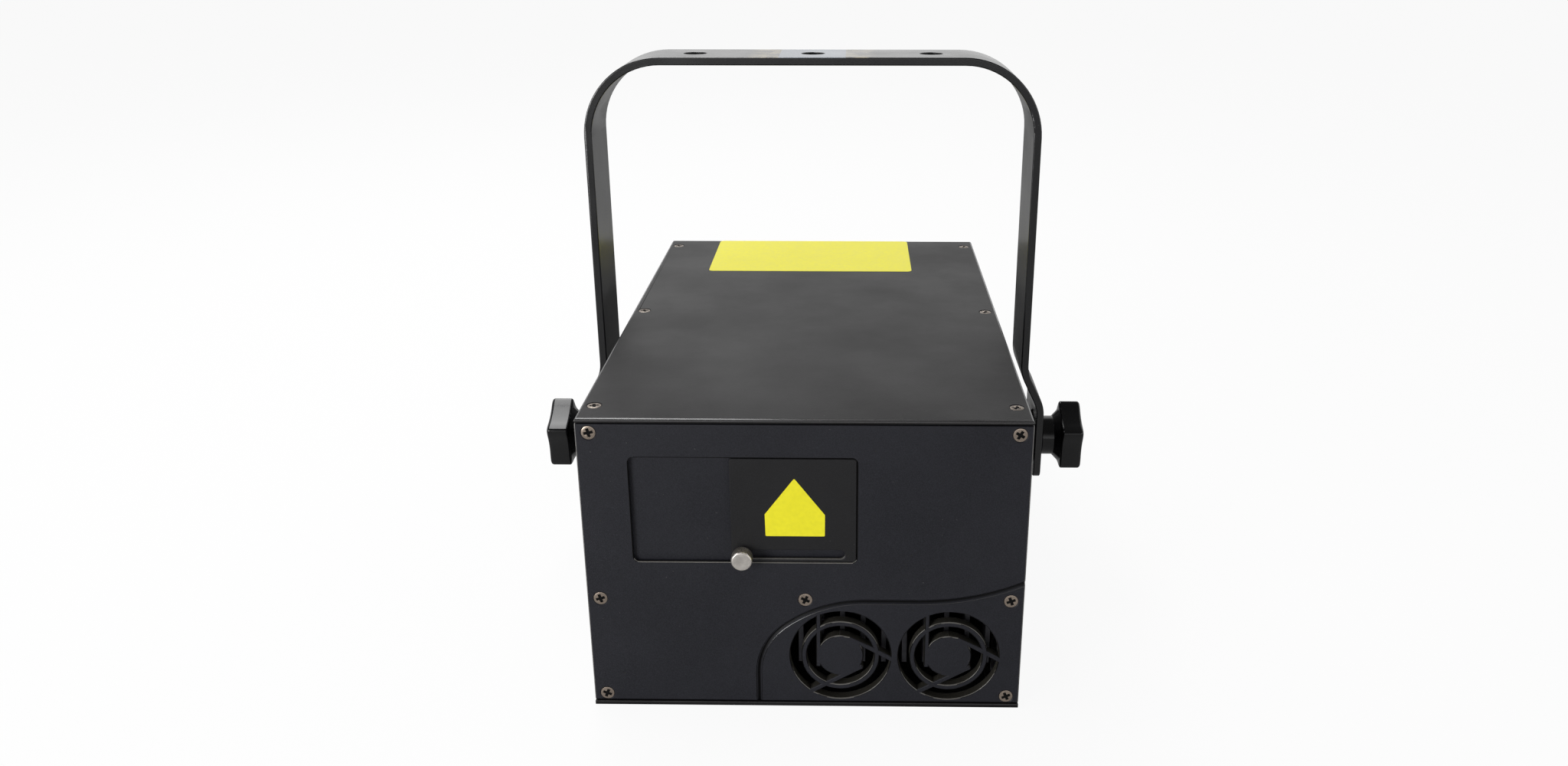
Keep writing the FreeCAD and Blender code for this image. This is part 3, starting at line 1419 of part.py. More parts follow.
def make_power_switch():
    """A frame that snaps into the rear panel, and a rocker that tips in it about a sideways axis."""
    lip = rear_face + dims.fitting_lip
    wall = dims.switch_wall
    shell = box(switch_x_span, (rear_face - dims.switch_depth, rear_face), switch_z_span)
    rim = box(widened(switch_x_span, wall), (rear_face, lip), widened(switch_z_span, wall))
    well = box(widened(switch_x_span, -wall), (rear_face - dims.switch_depth + wall, lip + dims.overrun),
               widened(switch_z_span, -wall))
    node("switch_frame", cut(fuse(shell, rim), well))
    rocker = new_body()
    profile = sketch_on(rocker, "YZ_Plane")
    reach = dims.switch_rise / 2 - wall - dims.slide_clearance - dims.rocker_end_height / 2
    root = dims.rocker_root_width / 2
    add_outline(profile, [
        (-dims.rocker_root, -root, None), (0, -reach, None), (dims.rocker_end_height, -reach, None),
        (dims.rocker_middle_height, 0, None), (dims.rocker_end_height, reach, None), (0, reach, None),
        (-dims.rocker_root, root, None)])
    width = dims.switch_width - (wall + dims.slide_clearance) * 2
    pad(rocker, profile, width).Midplane = True
    rocker.Placement.Rotation = FreeCAD.Rotation(Vector(1, 0, 0), ROCKER_REST)
    place(rocker, (switch_x, rear_face + dims.rocker_forward, dims.inlet_z))
    doc.recompute()
    node("power_rocker", rocker)


def make_key_switch():
    middle = (key_x, key_z)
    lip = rear_face + dims.fitting_lip
    barrel = fuse(cylinder("y", middle, (rear_face - dims.key_depth, rear_face), dims.key_barrel_radius),
                  cylinder("y", middle, (rear_face, lip), dims.key_flange_radius))
    bore_floor = lip - dims.key_rotor_depth
    bore = cylinder("y", middle, (bore_floor, lip + dims.overrun),
                    dims.key_rotor_radius + dims.turn_clearance)
    node("key_barrel", cut(barrel, bore))
    rotor = cylinder("y", middle, (bore_floor + dims.turn_clearance, lip), dims.key_rotor_radius)
    slot = box(centred(key_x, dims.key_slot_width), (lip - dims.key_slot_depth, lip + dims.overrun),
               centred(key_z, dims.key_slot_length))
    node("key_rotor", cut(rotor, slot))


def make_signal_socket():
    """A wide D-shaped socket: flange, tapered shell and two jack posts."""
    lip = rear_face + dims.signal_flange
    flange = box(centred(signal_x, dims.signal_width), (rear_face, lip),
                 centred(signal_z, dims.signal_rise))
    shell = new_body()
    sketch = sketch_on(shell, "XZ_Plane", -rear_face)
    half_width_shell = dims.signal_shell_width / 2
    half_rise = dims.signal_shell_rise / 2
    taper = dims.signal_shell_taper
    corner = dims.signal_shell_round
    add_outline(sketch, [
        (signal_x - half_width_shell + taper, signal_z - half_rise, corner),
        (signal_x + half_width_shell - taper, signal_z - half_rise, corner),
        (signal_x + half_width_shell, signal_z + half_rise, corner),
        (signal_x - half_width_shell, signal_z + half_rise, corner)])
    pad(shell, sketch, dims.signal_flange + dims.signal_shell_length, reverse=True)
    rear = box(signal_x_span, (board_back, rear_face), signal_z_span)
    jacks = [cylinder("y", (signal_x + sign * dims.jack_spread, signal_z),
                      (lip, lip + dims.jack_length), dims.jack_radius) for _, sign in BOTH_SIDES]
    node("signal_socket", fuse(flange, shell, rear, *jacks))


def make_control_sockets():
    """Two round three-pole sockets: pins stand in the inlet, and the outlet has holes."""
    lip = rear_face + dims.fitting_lip
    for name, x in (("control_in", control_in_x), ("control_out", control_out_x)):
        middle = (x, control_z)
        flange = new_body()
        sketch = sketch_on(flange, "XZ_Plane", -rear_face)
        add_rectangle(sketch, centred(x, dims.control_width), centred(control_z, dims.control_rise),
                      dims.control_round)
        pad(flange, sketch, dims.fitting_lip, reverse=True)
        shell = fuse(flange, cylinder("y", middle, (board_back, rear_face), dims.control_body_radius))
        floor = lip - dims.control_mouth_depth
        poles = []
        for angle in SPOKE_ANGLES:
            across, up = turned(dims.control_pin_circle, 0, angle - 90)
            span = (floor, floor + dims.control_pin_length)
            if name == "control_out":
                span = (floor, lip + dims.overrun)
            poles.append(cylinder("y", (x + across, control_z + up), span, dims.control_pin_radius))
        if name == "control_in":
            mouth = cylinder("y", middle, (floor, lip + dims.overrun), dims.control_mouth_radius)
            node(name, fuse(cut(shell, mouth), *poles))
        else:
            node(name, cut(shell, *poles))


def make_menu_buttons():
    for k, x in enumerate(button_xs, start=1):
        middle = (x, button_z)
        collar_end = rear_inner - dims.seat_clearance
        collar_start = collar_end - dims.button_collar_length
        stem = cylinder("y", middle, (button_back, rear_face + dims.button_proud), dims.button_radius)
        collar = cylinder("y", middle, (collar_start, collar_end), dims.button_collar_radius)
        node(f"menu_button_{k}", fuse(stem, collar))


def check_model():
    """Stop on any failed object, any cut that removed nothing and any sub-part that isn't a valid solid."""
    doc.recompute()
    for item in doc.Objects:
        if "Invalid" in item.State or "Error" in item.State:
            raise RuntimeError(f"{item.Name} ({item.Label}) failed: {item.State}")
        if item.TypeId in ("PartDesign::Pocket", "PartDesign::Hole", "PartDesign::SubtractivePipe"):
            if item.Shape.Volume >= item.BaseFeature.Shape.Volume:
                raise RuntimeError(f"{item.Name} cuts nothing")
    for name, solid in nodes.items():
        if solid.Shape.isNull() or not solid.Shape.isValid() or not solid.Shape.Solids:
            raise RuntimeError(f"{name} is not a valid solid")


def export_nodes():
    os.makedirs("parts", exist_ok=True)
    for name, solid in nodes.items():
        solid.Shape.exportStep(f"parts/{name}.step")
        bounds = solid.Shape.BoundBox
        print(f"{name}: {len(solid.Shape.Solids)} solid(s), {solid.Shape.Volume:.0f} mm3, "
              f"x {bounds.XMin:.1f}..{bounds.XMax:.1f} y {bounds.YMin:.1f}..{bounds.YMax:.1f} "
              f"z {bounds.ZMin:.1f}..{bounds.ZMax:.1f}")


for make in (make_base_plate, make_top_cover, make_side_panels, make_corner_posts, make_screws,
             make_clinch_nuts, make_front_panel, make_window, make_shutter, make_thumbscrew, make_yoke,
             make_pivots, make_knobs, make_heat_sink, make_optical_plate, make_fans, make_lasers,
             make_scanner, make_driver_board, make_power_supply, make_main_board, make_rear_panel,
             make_mains_inlet, make_power_switch, make_key_switch, make_signal_socket,
             make_control_sockets, make_menu_buttons):
    make()
check_model()
export_nodes()
print(f"{len(nodes)} nodes")
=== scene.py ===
import json
import math

import bmesh
import bpy
from mathutils import Matrix, Vector


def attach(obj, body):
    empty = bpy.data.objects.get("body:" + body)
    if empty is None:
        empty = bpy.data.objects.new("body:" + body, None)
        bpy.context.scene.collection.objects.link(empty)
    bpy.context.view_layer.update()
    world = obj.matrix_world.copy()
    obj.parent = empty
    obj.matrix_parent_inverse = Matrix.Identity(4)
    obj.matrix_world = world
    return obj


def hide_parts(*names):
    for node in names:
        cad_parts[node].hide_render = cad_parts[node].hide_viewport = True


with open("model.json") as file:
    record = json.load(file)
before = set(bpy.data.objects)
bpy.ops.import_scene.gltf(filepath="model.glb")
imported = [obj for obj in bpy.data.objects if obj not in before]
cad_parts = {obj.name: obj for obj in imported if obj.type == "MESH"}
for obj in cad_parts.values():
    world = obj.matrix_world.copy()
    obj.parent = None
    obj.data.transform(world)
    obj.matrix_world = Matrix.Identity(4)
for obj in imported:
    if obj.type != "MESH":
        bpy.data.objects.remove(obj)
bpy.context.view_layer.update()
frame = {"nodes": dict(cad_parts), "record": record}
nodes = frame["nodes"]
slot_of = {row["node"]: row["material_slot"] for row in frame["record"]["subparts"]}

# One millimetre in Blender's metres. Lengths below are in millimetres where nothing else is said.
MM = 0.001

# Places on the projector
FRONT_FACE = -158.0
REAR_FACE = 158.0
FLANGE_FACE = 160.0
DECK = 146.0
PIVOT_Z = 73.0
YOKE_TOP = 284.0


# Camera, fitted to the photograph; its place is in metres

CAMERA_PLACE = (0.0208, -0.6556, 0.3502)
CAMERA_TILT = math.radians(90 - 20.6)
CAMERA_TURN = math.radians(0.86)

camera_data = bpy.data.cameras.new("camera")
camera_data.sensor_width = 36.0
camera_data.lens = 28.56
camera_data.shift_x = -0.0322
camera_data.clip_start = 0.01
camera = bpy.data.objects.new("camera", camera_data)
camera.location = CAMERA_PLACE
camera.rotation_euler = (CAMERA_TILT, 0, CAMERA_TURN)
bpy.context.scene.collection.objects.link(camera)
bpy.context.scene.camera = camera
bpy.context.scene.view_settings.view_transform = "Standard"


# Node trees

class Graph:
    """A shader node tree, put together from small helpers."""

    def __init__(self, tree):
        self.tree = tree

    def node(self, kind, **values):
        made = self.tree.nodes.new(kind)
        for name, value in values.items():
            setattr(made, name, value)
        return made

    def link(self, source, target):
        self.tree.links.new(source, target)

    def remap(self, source, span=(0.3, 0.7), to=(0.0, 1.0), **values):
        """One range stretched to another; the usual span is the middle of a noise."""
        made = self.node("ShaderNodeMapRange", **values)
        for socket, value in zip(("From Min", "From Max", "To Min", "To Max"), (*span, *to)):
            made.inputs[socket].default_value = value
        self.link(source, made.inputs["Value"])
        return made.outputs["Result"]

    def math(self, operation, *values):
        """A maths node on sockets or plain numbers."""
        made = self.node("ShaderNodeMath", operation=operation)
        for target, value in zip(made.inputs, values):
            if isinstance(value, float):
                target.default_value = value
            else:
                self.link(value, target)
        return made.outputs[0]

    def axes(self, vector):
        """The parts of a vector, as sockets named X, Y and Z."""
        parts = self.node("ShaderNodeSeparateXYZ")
        self.link(vector, parts.inputs[0])
        return parts.outputs

    def mixed(self, share, first, second):
        """Two shaders mixed by a share."""
        made = self.node("ShaderNodeMixShader")
        for target, source in zip(made.inputs, (share, first, second)):
            self.link(source, target)
        return made.outputs[0]

    def ray(self, kind):
        return self.node("ShaderNodeLightPath").outputs[f"Is {kind} Ray"]

    def seen(self):
        """1 for camera, glossy and transmission rays, else 0."""
        share = self.ray("Camera")
        for kind in ("Glossy", "Transmission"):
            share = self.math("MAXIMUM", share, self.ray(kind))
        return share


looks = {}


class Look(Graph):
    """A Principled material, kept in looks by its name; its patterns lie in metres on the object."""

    def __init__(self, name, metallic=0.0, specular=0.5, transmission=0.0, ior=1.5):
        looks[name] = bpy.data.materials.new(name)
        looks[name].use_nodes = True
        super().__init__(looks[name].node_tree)
        self.shader = self.tree.nodes["Principled BSDF"]
        for socket, value in (("Metallic", metallic), ("Specular IOR Level", specular),
                              ("Transmission Weight", transmission), ("IOR", ior)):
            self.shader.inputs[socket].default_value = value
        self.place = self.node("ShaderNodeTexCoord").outputs["Object"]

    def stretched(self, factors):
        mapping = self.node("ShaderNodeMapping")
        mapping.inputs["Scale"].default_value = factors
        self.link(self.place, mapping.inputs["Vector"])
        return mapping.outputs["Vector"]

    def noise(self, size, detail=2.0, roughness=0.5, place=None):
        """Noise whose features are about size metres across."""
        made = self.node("ShaderNodeTexNoise")
        for socket, value in (("Scale", 1 / size), ("Detail", detail), ("Roughness", roughness)):
            made.inputs[socket].default_value = value
        self.link(place or self.place, made.inputs["Vector"])
        return made.outputs["Fac"]

    def blend(self, share, first, second):
        """Mix two colours, each a tuple or a socket, by a share."""
        made = self.node("ShaderNodeMix", data_type="RGBA")
        self.link(share, made.inputs["Factor"])
        for socket, value in (("A", first), ("B", second)):
            target = next(i for i in made.inputs if i.name == socket and i.type == "RGBA")
            if isinstance(value, tuple):
                target.default_value = (*value, 1.0)
            else:
                self.link(value, target)
        return next(o for o in made.outputs if o.type == "RGBA")

    def color(self, source):
        self.link(source, self.shader.inputs["Base Color"])

    def rough(self, source):
        self.link(source, self.shader.inputs["Roughness"])

    def bump(self, height, depth):
        """Relief of about depth metres."""
        made = self.node("ShaderNodeBump")
        made.inputs["Strength"].default_value = 1.0
        made.inputs["Distance"].default_value = depth
        self.link(height, made.inputs["Height"])
        self.link(made.outputs["Normal"], self.shader.inputs["Normal"])


# Materials

DUST = (0.12, 0.115, 0.11)
FILM = (0.16, 0.185, 0.225)
GLUE = (0.2, 0.165, 0.09)
# Colour of the painted shade down in the front panel's groove
GROOVE_SHADE = (0.0008, 0.0008, 0.001)


def shade(color, factor):
    return tuple(min(1.0, part * factor) for part in color)


def powder_coat(name, color, rough, specular, grain=0.55 * MM, relief=0.035 * MM, marks=None):
    """Powder paint: pebbled grain, uneven sheen and pale dust; marks(look, tone) may add to the tone."""
    look = Look(name, specular=specular)
    pebble = look.noise(grain, detail=3.0, roughness=0.55)
    broad = look.noise(45 * MM, detail=4.0, roughness=0.55)
    tone = look.blend(look.remap(pebble), shade(color, 0.72), shade(color, 1.3))
    tone = look.blend(look.remap(broad, (0.35, 0.7), (0.0, 0.28)), tone, shade(color, 1.6))
    specks = look.noise(1.6 * MM, detail=1.0, roughness=0.4)
    tone = look.blend(look.remap(specks, (0.8, 0.83), (0.0, 0.3)), tone, DUST)
    look.color(marks(look, tone) if marks else tone)
    look.rough(look.remap(broad, to=(rough - 0.05, rough + 0.06)))
    look.bump(pebble, relief)


def film_marks(look, tone):
    """A pale film left round the middle hole on the yoke's bar, with dried glue on both sides of it."""
    film_half, glue_inner, glue_outer, fade = 16.7, 27.0, 33.0, 0.2
    place = look.axes(look.place)
    on_top = look.remap(place["Z"], ((YOKE_TOP - 0.3) * MM, (YOKE_TOP - 0.1) * MM))
    across = look.math("ABSOLUTE", place["X"])
    inside = look.remap(across, (film_half * MM, (film_half + fade) * MM), (1.0, 0.0))
    near = look.remap(across, (glue_inner * MM, glue_outer * MM), (1.0, 0.0))
    patchy = look.remap(look.noise(6 * MM, detail=3.0, roughness=0.6), (0.42, 0.56), (0.0, 0.9))
    glue = look.math("MULTIPLY", on_top, look.math("MULTIPLY", patchy, near))
    return look.blend(look.math("MULTIPLY", on_top, inside), look.blend(glue, tone, GLUE), FILM)


def groove_painted_shade(look, tone):
    """Painted shade about a millimetre below the front panel's face, where its groove is deepest."""
    depth = look.axes(look.place)["Y"]
    below = look.remap(depth, ((FRONT_FACE + 0.35) * MM, (FRONT_FACE + 0.85) * MM), (0.0, 0.95))
    above = look.remap(depth, ((FRONT_FACE + 1.25) * MM, (FRONT_FACE + 1.35) * MM), (1.0, 0.0))
    return look.blend(look.math("MULTIPLY", below, above), tone, GROOVE_SHADE)


def moulded(name, color, rough, specular=0.5, relief=0.012 * MM):
    """Moulded plastic: faint texture, slow colour drift and fine handling marks."""
    look = Look(name, specular=specular)
    grain = look.noise(0.5 * MM)
    broad = look.noise(18 * MM, detail=3.0)
    marks = look.noise(1.2 * MM, detail=4.0, roughness=0.7, place=look.stretched((1.0, 0.12, 1.0)))
    look.color(look.blend(look.remap(broad), shade(color, 0.82), shade(color, 1.25)))
    look.rough(look.remap(marks, (0.35, 0.75), (rough - 0.04, rough + 0.1)))
    look.bump(grain, relief)


def metal(name, color, rough, stretch=(1.0, 1.0, 1.0), relief=0.006 * MM, tarnish=0.75):
    """Plated or machined metal: fine tool marks, cloudy tarnish and uneven gloss."""
    look = Look(name, metallic=1.0)
    marks = look.noise(0.35 * MM, detail=4.0, roughness=0.65, place=look.stretched(stretch))
    cloud = look.noise(3.5 * MM, detail=4.0, roughness=0.6)
    look.color(look.blend(look.remap(cloud, (0.38, 0.68)), color, shade(color, tarnish)))
    look.rough(look.remap(marks, to=(rough - 0.06, rough + 0.1)))
    look.bump(marks, relief)


def vinyl(name, color, specular):
    """Film of a blank sticker: slight mottling and soft gloss."""
    look = Look(name, specular=specular)
    mottle = look.noise(2.2 * MM, detail=3.0, roughness=0.55)
    broad = look.noise(24 * MM)
    tone = look.blend(look.remap(mottle), shade(color, 0.95), shade(color, 1.03))
    look.color(look.blend(look.remap(broad, (0.45, 0.75), (0.0, 0.25)), tone, shade(color, 0.88)))
    look.rough(look.remap(mottle, to=(0.3, 0.42)))
    look.bump(look.noise(0.8 * MM), 0.008 * MM)


def glass(name, color):
    """Clear or tinted glass with faint smears."""
    look = Look(name, transmission=1.0, ior=1.48)
    smear = look.noise(9 * MM, detail=3.0, roughness=0.6)
    look.color(look.blend(look.remap(smear), color, shade(color, 0.94)))
    look.rough(look.remap(smear, (0.4, 0.75), (0.03, 0.08)))


def solder_mask(name, color):
    """Circuit board: copper shows as paler streaks under the lacquer."""
    look = Look(name)
    fibre = look.noise(0.9 * MM, detail=3.0, roughness=0.6)
    tracks = look.noise(5 * MM, detail=0.0, roughness=0.0, place=look.stretched((1.0, 1.0, 0.15)))
    tone = look.blend(look.remap(fibre), shade(color, 0.85), shade(color, 1.15))
    look.color(look.blend(look.remap(tracks, (0.5, 0.53), (0.0, 0.7)), tone, shade(color, 1.8)))
    look.rough(look.remap(fibre, to=(0.3, 0.45)))
    look.bump(tracks, 0.02 * MM)


# Finishes of the record's material slots
powder_coat("case_black", (0.0108, 0.0103, 0.0108), rough=0.45, specular=0.17)
powder_coat("shutter_black", (0.0135, 0.0134, 0.0145), rough=0.5, specular=0.24, grain=0.4 * MM)
powder_coat("yoke_black", (0.004, 0.0041, 0.005), rough=0.22, specular=0.72, grain=0.8 * MM,
            relief=0.02 * MM, marks=film_marks)
moulded("knob_black", (0.005, 0.005, 0.0055), rough=0.12, relief=0.003 * MM)
metal("screw_nickel", (0.52, 0.43, 0.355), rough=0.27)
metal("thumb_nickel", (0.92, 0.87, 0.81), rough=0.36)
metal("stud_steel", (0.6, 0.6, 0.61), rough=0.32)
metal("raw_aluminium", (0.72, 0.73, 0.75), rough=0.36, stretch=(1.0, 0.1, 1.0))
metal("sink_aluminium", (0.09, 0.09, 0.1), rough=0.45, stretch=(1.0, 0.08, 1.0))
solder_mask("board_green", (0.012, 0.1, 0.045))
moulded("fan_black", (0.012, 0.012, 0.013), rough=0.42, specular=0.4)
glass("window_glass", (0.96, 0.98, 0.98))
glass("dichroic_glass", (0.9, 0.55, 0.75))
metal("scan_mirror", (0.93, 0.93, 0.94), rough=0.08, relief=0.001 * MM, tarnish=0.96)
metal("supply_case", (0.66, 0.67, 0.68), rough=0.4, stretch=(0.1, 1.0, 1.0))
moulded("fitting_black", (0.014, 0.014, 0.015), rough=0.38, specular=0.45)
metal("socket_metal", (0.6, 0.6, 0.6), rough=0.28)
moulded("display_dark", (0.004, 0.005, 0.006), rough=0.1, relief=0.002 * MM)
moulded("button_grey", (0.05, 0.05, 0.054), rough=0.5, specular=0.4)

# Finishes of single pieces and of parts of them
# The front paint carries painted shade in its groove
powder_coat("front_paint", (0.0148, 0.0152, 0.02), rough=0.48, specular=0.27, marks=groove_painted_shade)
# Paler and glossier than the paint beside it: a painted highlight on broken edges
powder_coat("edge_highlight_paint", (0.034, 0.033, 0.034), rough=0.22, specular=0.8, relief=0.008 * MM)
# Pale edge paint: thin worn paint, and a painted highlight on the upright outer edges
powder_coat("worn_and_highlight_paint", (0.15, 0.145, 0.14), rough=0.3, specular=0.5, grain=2.5 * MM,
            relief=0.01 * MM)
# Paler rough paint on the grilles' walls: a rough cut surface, and painted light where the walls lie in shade
powder_coat("cut_and_lit_paint", (0.034, 0.032, 0.026), rough=0.55, specular=0.3, grain=0.9 * MM,
            relief=0.12 * MM)
# Pale glossy paint: a painted highlight on the grilles' ring edges, the recess's sill and the shutter slot's
# lower edge
powder_coat("slot_shine", (0.11, 0.105, 0.095), rough=0.3, specular=0.8, relief=0.008 * MM)
vinyl("yellow_film", (0.82, 0.76, 0.026), specular=0.2)
# The shutter sticker's film is painted brighter than the top one's: painted light that makes up for the
# weaker light on the front
vinyl("yellow_warning", (0.96, 0.88, 0.024), specular=0.3)
metal("black_washer", (0.045, 0.045, 0.048), rough=0.36)
metal("dull_nickel", (0.24, 0.205, 0.175), rough=0.34)
metal("contact_metal", (0.74, 0.62, 0.4), rough=0.24)
# Near black: painted shade on side-facing broken edges, over the shutter and down in screw crosses
moulded("recess_dark", (0.004, 0.004, 0.004), rough=0.7, specular=0.1)

for name, item in nodes.items():
    item.data.materials.clear()
    item.data.materials.append(looks[slot_of[name]])
nodes["knob_washers"].data.materials[0] = looks["black_washer"]


# Mesh helpers

SMOOTH_ANGLE = math.radians(32)
SHARP_ANGLE = math.radians(40)
FLAT_ANGLE = math.radians(0.5)
MERGE_DISTANCE = 0.002
ARC_STEPS = 6


def piece(name, mesh, finish, body, stands_for=(), crease=SMOOTH_ANGLE, flat_area=1.0):
    """Put a mesh into the scene on a body, smooth except at its creases and on large flats.

    finish is the name of its material, or a list of names.
    """
    mesh.name = name
    for entry in finish if isinstance(finish, list) else [finish]:
        mesh.materials.append(looks[entry])
    mesh.set_sharp_from_angle(angle=crease)
    for face in mesh.polygons:
        face.use_smooth = face.area < flat_area
    item = bpy.data.objects.new(name, mesh)
    bpy.context.scene.collection.objects.link(item)
    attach(item, body)
    if stands_for:
        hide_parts(*stands_for)


def mesh_of(draft):
    bmesh.ops.recalc_face_normals(draft, faces=draft.faces)
    mesh = bpy.data.meshes.new("mesh")
    draft.to_mesh(mesh)
    draft.free()
    return mesh


def skin(draft, rings):
    """Faces between successive closed rings of points; a ring of one point is a tip."""
    made = [[draft.verts.new(point) for point in points] for points in rings]
    for low, high in zip(made, made[1:]):
        for i in range(max(len(low), len(high))):
            corners = [low[i % len(low)], low[(i + 1) % len(low)],
                       high[(i + 1) % len(high)], high[i % len(high)]]
            unique = list(dict.fromkeys(corners))
            if len(unique) > 2:
                draft.faces.new(unique)
    return made


def skinned(rings):
    """One mesh over rings of points."""
    draft = bmesh.new()
    skin(draft, rings)
    return mesh_of(draft)


def polar(reach, height, count):
    """Points about Z in metres, where reach(i) gives the distance of point i in millimetres."""
    turns = [2 * math.pi * i / count for i in range(count)]
    return [Vector((reach(i) * MM * math.cos(turn), reach(i) * MM * math.sin(turn), height * MM))
            for i, turn in enumerate(turns)]


def ring(radius, height, count):
    """Points of a circle about Z; a radius of zero gives one point."""
    return polar(lambda i: radius, height, count if radius else 1)


def turned(profile, count):
    """Rings about Z from (radius, height) pairs in millimetres."""
    return [ring(radius, height, count) for radius, height in profile]


def lathe(profile, count):
    """A turned solid about Z from (radius, height) pairs in millimetres."""
    return skinned(turned(profile, count))


def carved(base, tool, bevel=0.0):
    """Base minus tool, with its sharp edges broken by a small bevel."""
    solid = bpy.data.objects.new("solid", base)
    cutter = bpy.data.objects.new("cutter", tool)
    for item in (solid, cutter):
        bpy.context.scene.collection.objects.link(item)
    cut = solid.modifiers.new("cut", "BOOLEAN")
    cut.object = cutter
    cut.solver = "EXACT"
    if bevel:
        soften = solid.modifiers.new("soften", "BEVEL")
        soften.width = bevel * MM
        soften.segments = 2
        soften.limit_method = "ANGLE"
        soften.angle_limit = SHARP_ANGLE
    graph = bpy.context.evaluated_depsgraph_get()
    result = bpy.data.meshes.new_from_object(solid.evaluated_get(graph))
    for item in (solid, cutter):
        bpy.data.objects.remove(item)
    return result


def prism(outline, low, high, taper=1.0):
    """A solid between two heights over an outline of (x, y) millimetres; taper scales the lower end."""
    draft = bmesh.new()
    lower = [draft.verts.new((x * MM * taper, y * MM * taper, low * MM)) for x, y in outline]
    upper = [draft.verts.new((x * MM, y * MM, high * MM)) for x, y in outline]
    draft.faces.new(list(reversed(lower)))
    draft.faces.new(upper)
    for i in range(len(outline)):
        j = (i + 1) % len(outline)
        draft.faces.new((lower[i], lower[j], upper[j], upper[i]))
    return mesh_of(draft)


def joined(mesh, places):
    """One mesh out of copies of a mesh, one for each matrix."""
    return assembled([(mesh, place) for place in places])


def assembled(parts):
    """One mesh out of (mesh, matrix) pairs."""
    draft = bmesh.new()
    for mesh, matrix in parts:
        copy = mesh.copy()
        copy.transform(matrix)
        draft.from_mesh(copy)
        bpy.data.meshes.remove(copy)
    return mesh_of(draft)


def cad_mesh(node):
    """A copy of a CAD piece's surface in world coordinates, with points that coincide merged."""
    draft = bmesh.new()
    draft.from_mesh(nodes[node].data)
    draft.transform(nodes[node].matrix_world)
    bmesh.ops.remove_doubles(draft, verts=draft.verts, dist=MERGE_DISTANCE * MM)
    return mesh_of(draft)


def softened(mesh, width, zone, crisp, fine):
    """A surface whose sharp outer edges are broken by a narrow bevel.

    Edges where crisp(point) holds stay sharp, and those where fine(point) holds get a third of the width.
    zone(point, normal, bevelled) gives each face the number of its material. Points are in millimetres.
    """
    draft = bmesh.new()
    draft.from_mesh(mesh)
    bmesh.ops.dissolve_limit(draft, angle_limit=FLAT_ANGLE, verts=draft.verts, edges=draft.edges)
    bmesh.ops.recalc_face_normals(draft, faces=draft.faces)

    def sharp_edges(are_fine):
        found = []
        for edge in draft.edges:
            middle = (edge.verts[0].co + edge.verts[1].co) / 2 / MM
            if edge.is_convex and edge.calc_face_angle(0) > SHARP_ANGLE and not crisp(middle):
                if fine(middle) == are_fine:
                    found.append(edge)
        return found

    bevelled = draft.faces.layers.int.new("bevelled")
    for are_fine, share in ((True, 1 / 3), (False, 1.0)):
        edges = sharp_edges(are_fine)
        if edges:
            made = bmesh.ops.bevel(draft, geom=edges, offset=width * MM * share, segments=3, profile=0.5,
                                   affect="EDGES")
            for face in made["faces"]:
                face[bevelled] = 1
    bmesh.ops.recalc_face_normals(draft, faces=draft.faces)
    for face in draft.faces:
        face.material_index = zone(face.calc_center_median() / MM, face.normal, face[bevelled] == 1)
    draft.faces.layers.int.remove(bevelled)
    return mesh_of(draft)


def facing(axis, point):
    """A matrix that carries a piece's +Z to an outward axis at a point in millimetres."""
    turn = Vector((0, 0, 1)).rotation_difference(Vector(axis)).to_matrix().to_4x4()
    return Matrix.Translation(Vector(point) * MM) @ turn


def rounded_outline(corners, radius):
    """Corner points (x, y) in millimetres with arcs of a radius."""
    points = []
    count = len(corners)
    for i, corner in enumerate(corners):
        here = Vector(corner)
        back = (Vector(corners[i - 1]) - here).normalized()
        ahead = (Vector(corners[(i + 1) % count]) - here).normalized()
        half = back.angle(ahead) / 2
        reach = radius / math.tan(half)
        middle = here + (back + ahead).normalized() * (radius / math.sin(half))
        start = here + back * reach - middle
        end = here + ahead * reach - middle
        sweep = start.angle_signed(end)
        for k in range(ARC_STEPS + 1):
            spin = Matrix.Rotation(-sweep * k / ARC_STEPS, 2)
            points.append(tuple(middle + spin @ start))
    return points


# Panels with broken edges

# The area is in square metres
FLAT_CREASE = math.radians(14)
FLAT_AREA = 0.0004
# Material numbers on the panels: the edge, worn and lip paints are paler, painted highlights; the cut walls'
# paint is partly painted light; the dark one is painted shade
PAINT, EDGE, WORN_AND_HIGHLIT, CUT_AND_LIT, PAINTED_SHADE, LIP_SHINE = range(6)

# Limits for the parts of a face's normal
LEANING = 0.25
SLANTED, NEARLY_SQUARE = 0.2, 0.98

SCREW_X, SCREW_TOP, SCREW_LOW = 94.0, 139.3, 6.0
FRONT_MIDDLE, REAR_MIDDLE = 57.0, 73.0
SCREW_REACH = 4.5
DECK_POINTS = [(sign * SCREW_X, y) for y in (-142.0, 0.0, 144.0) for sign in (-1, 1)]
FRONT_POINTS = [(-SCREW_X, SCREW_TOP), (SCREW_X, SCREW_TOP),
                (-SCREW_X, FRONT_MIDDLE), (0.0, FRONT_MIDDLE), (SCREW_X, FRONT_MIDDLE),
                (-SCREW_X, SCREW_LOW), (SCREW_X, SCREW_LOW)]
REAR_POINTS = [(sign * SCREW_X, z) for z in (SCREW_TOP, REAR_MIDDLE, SCREW_LOW) for sign in (-1, 1)]

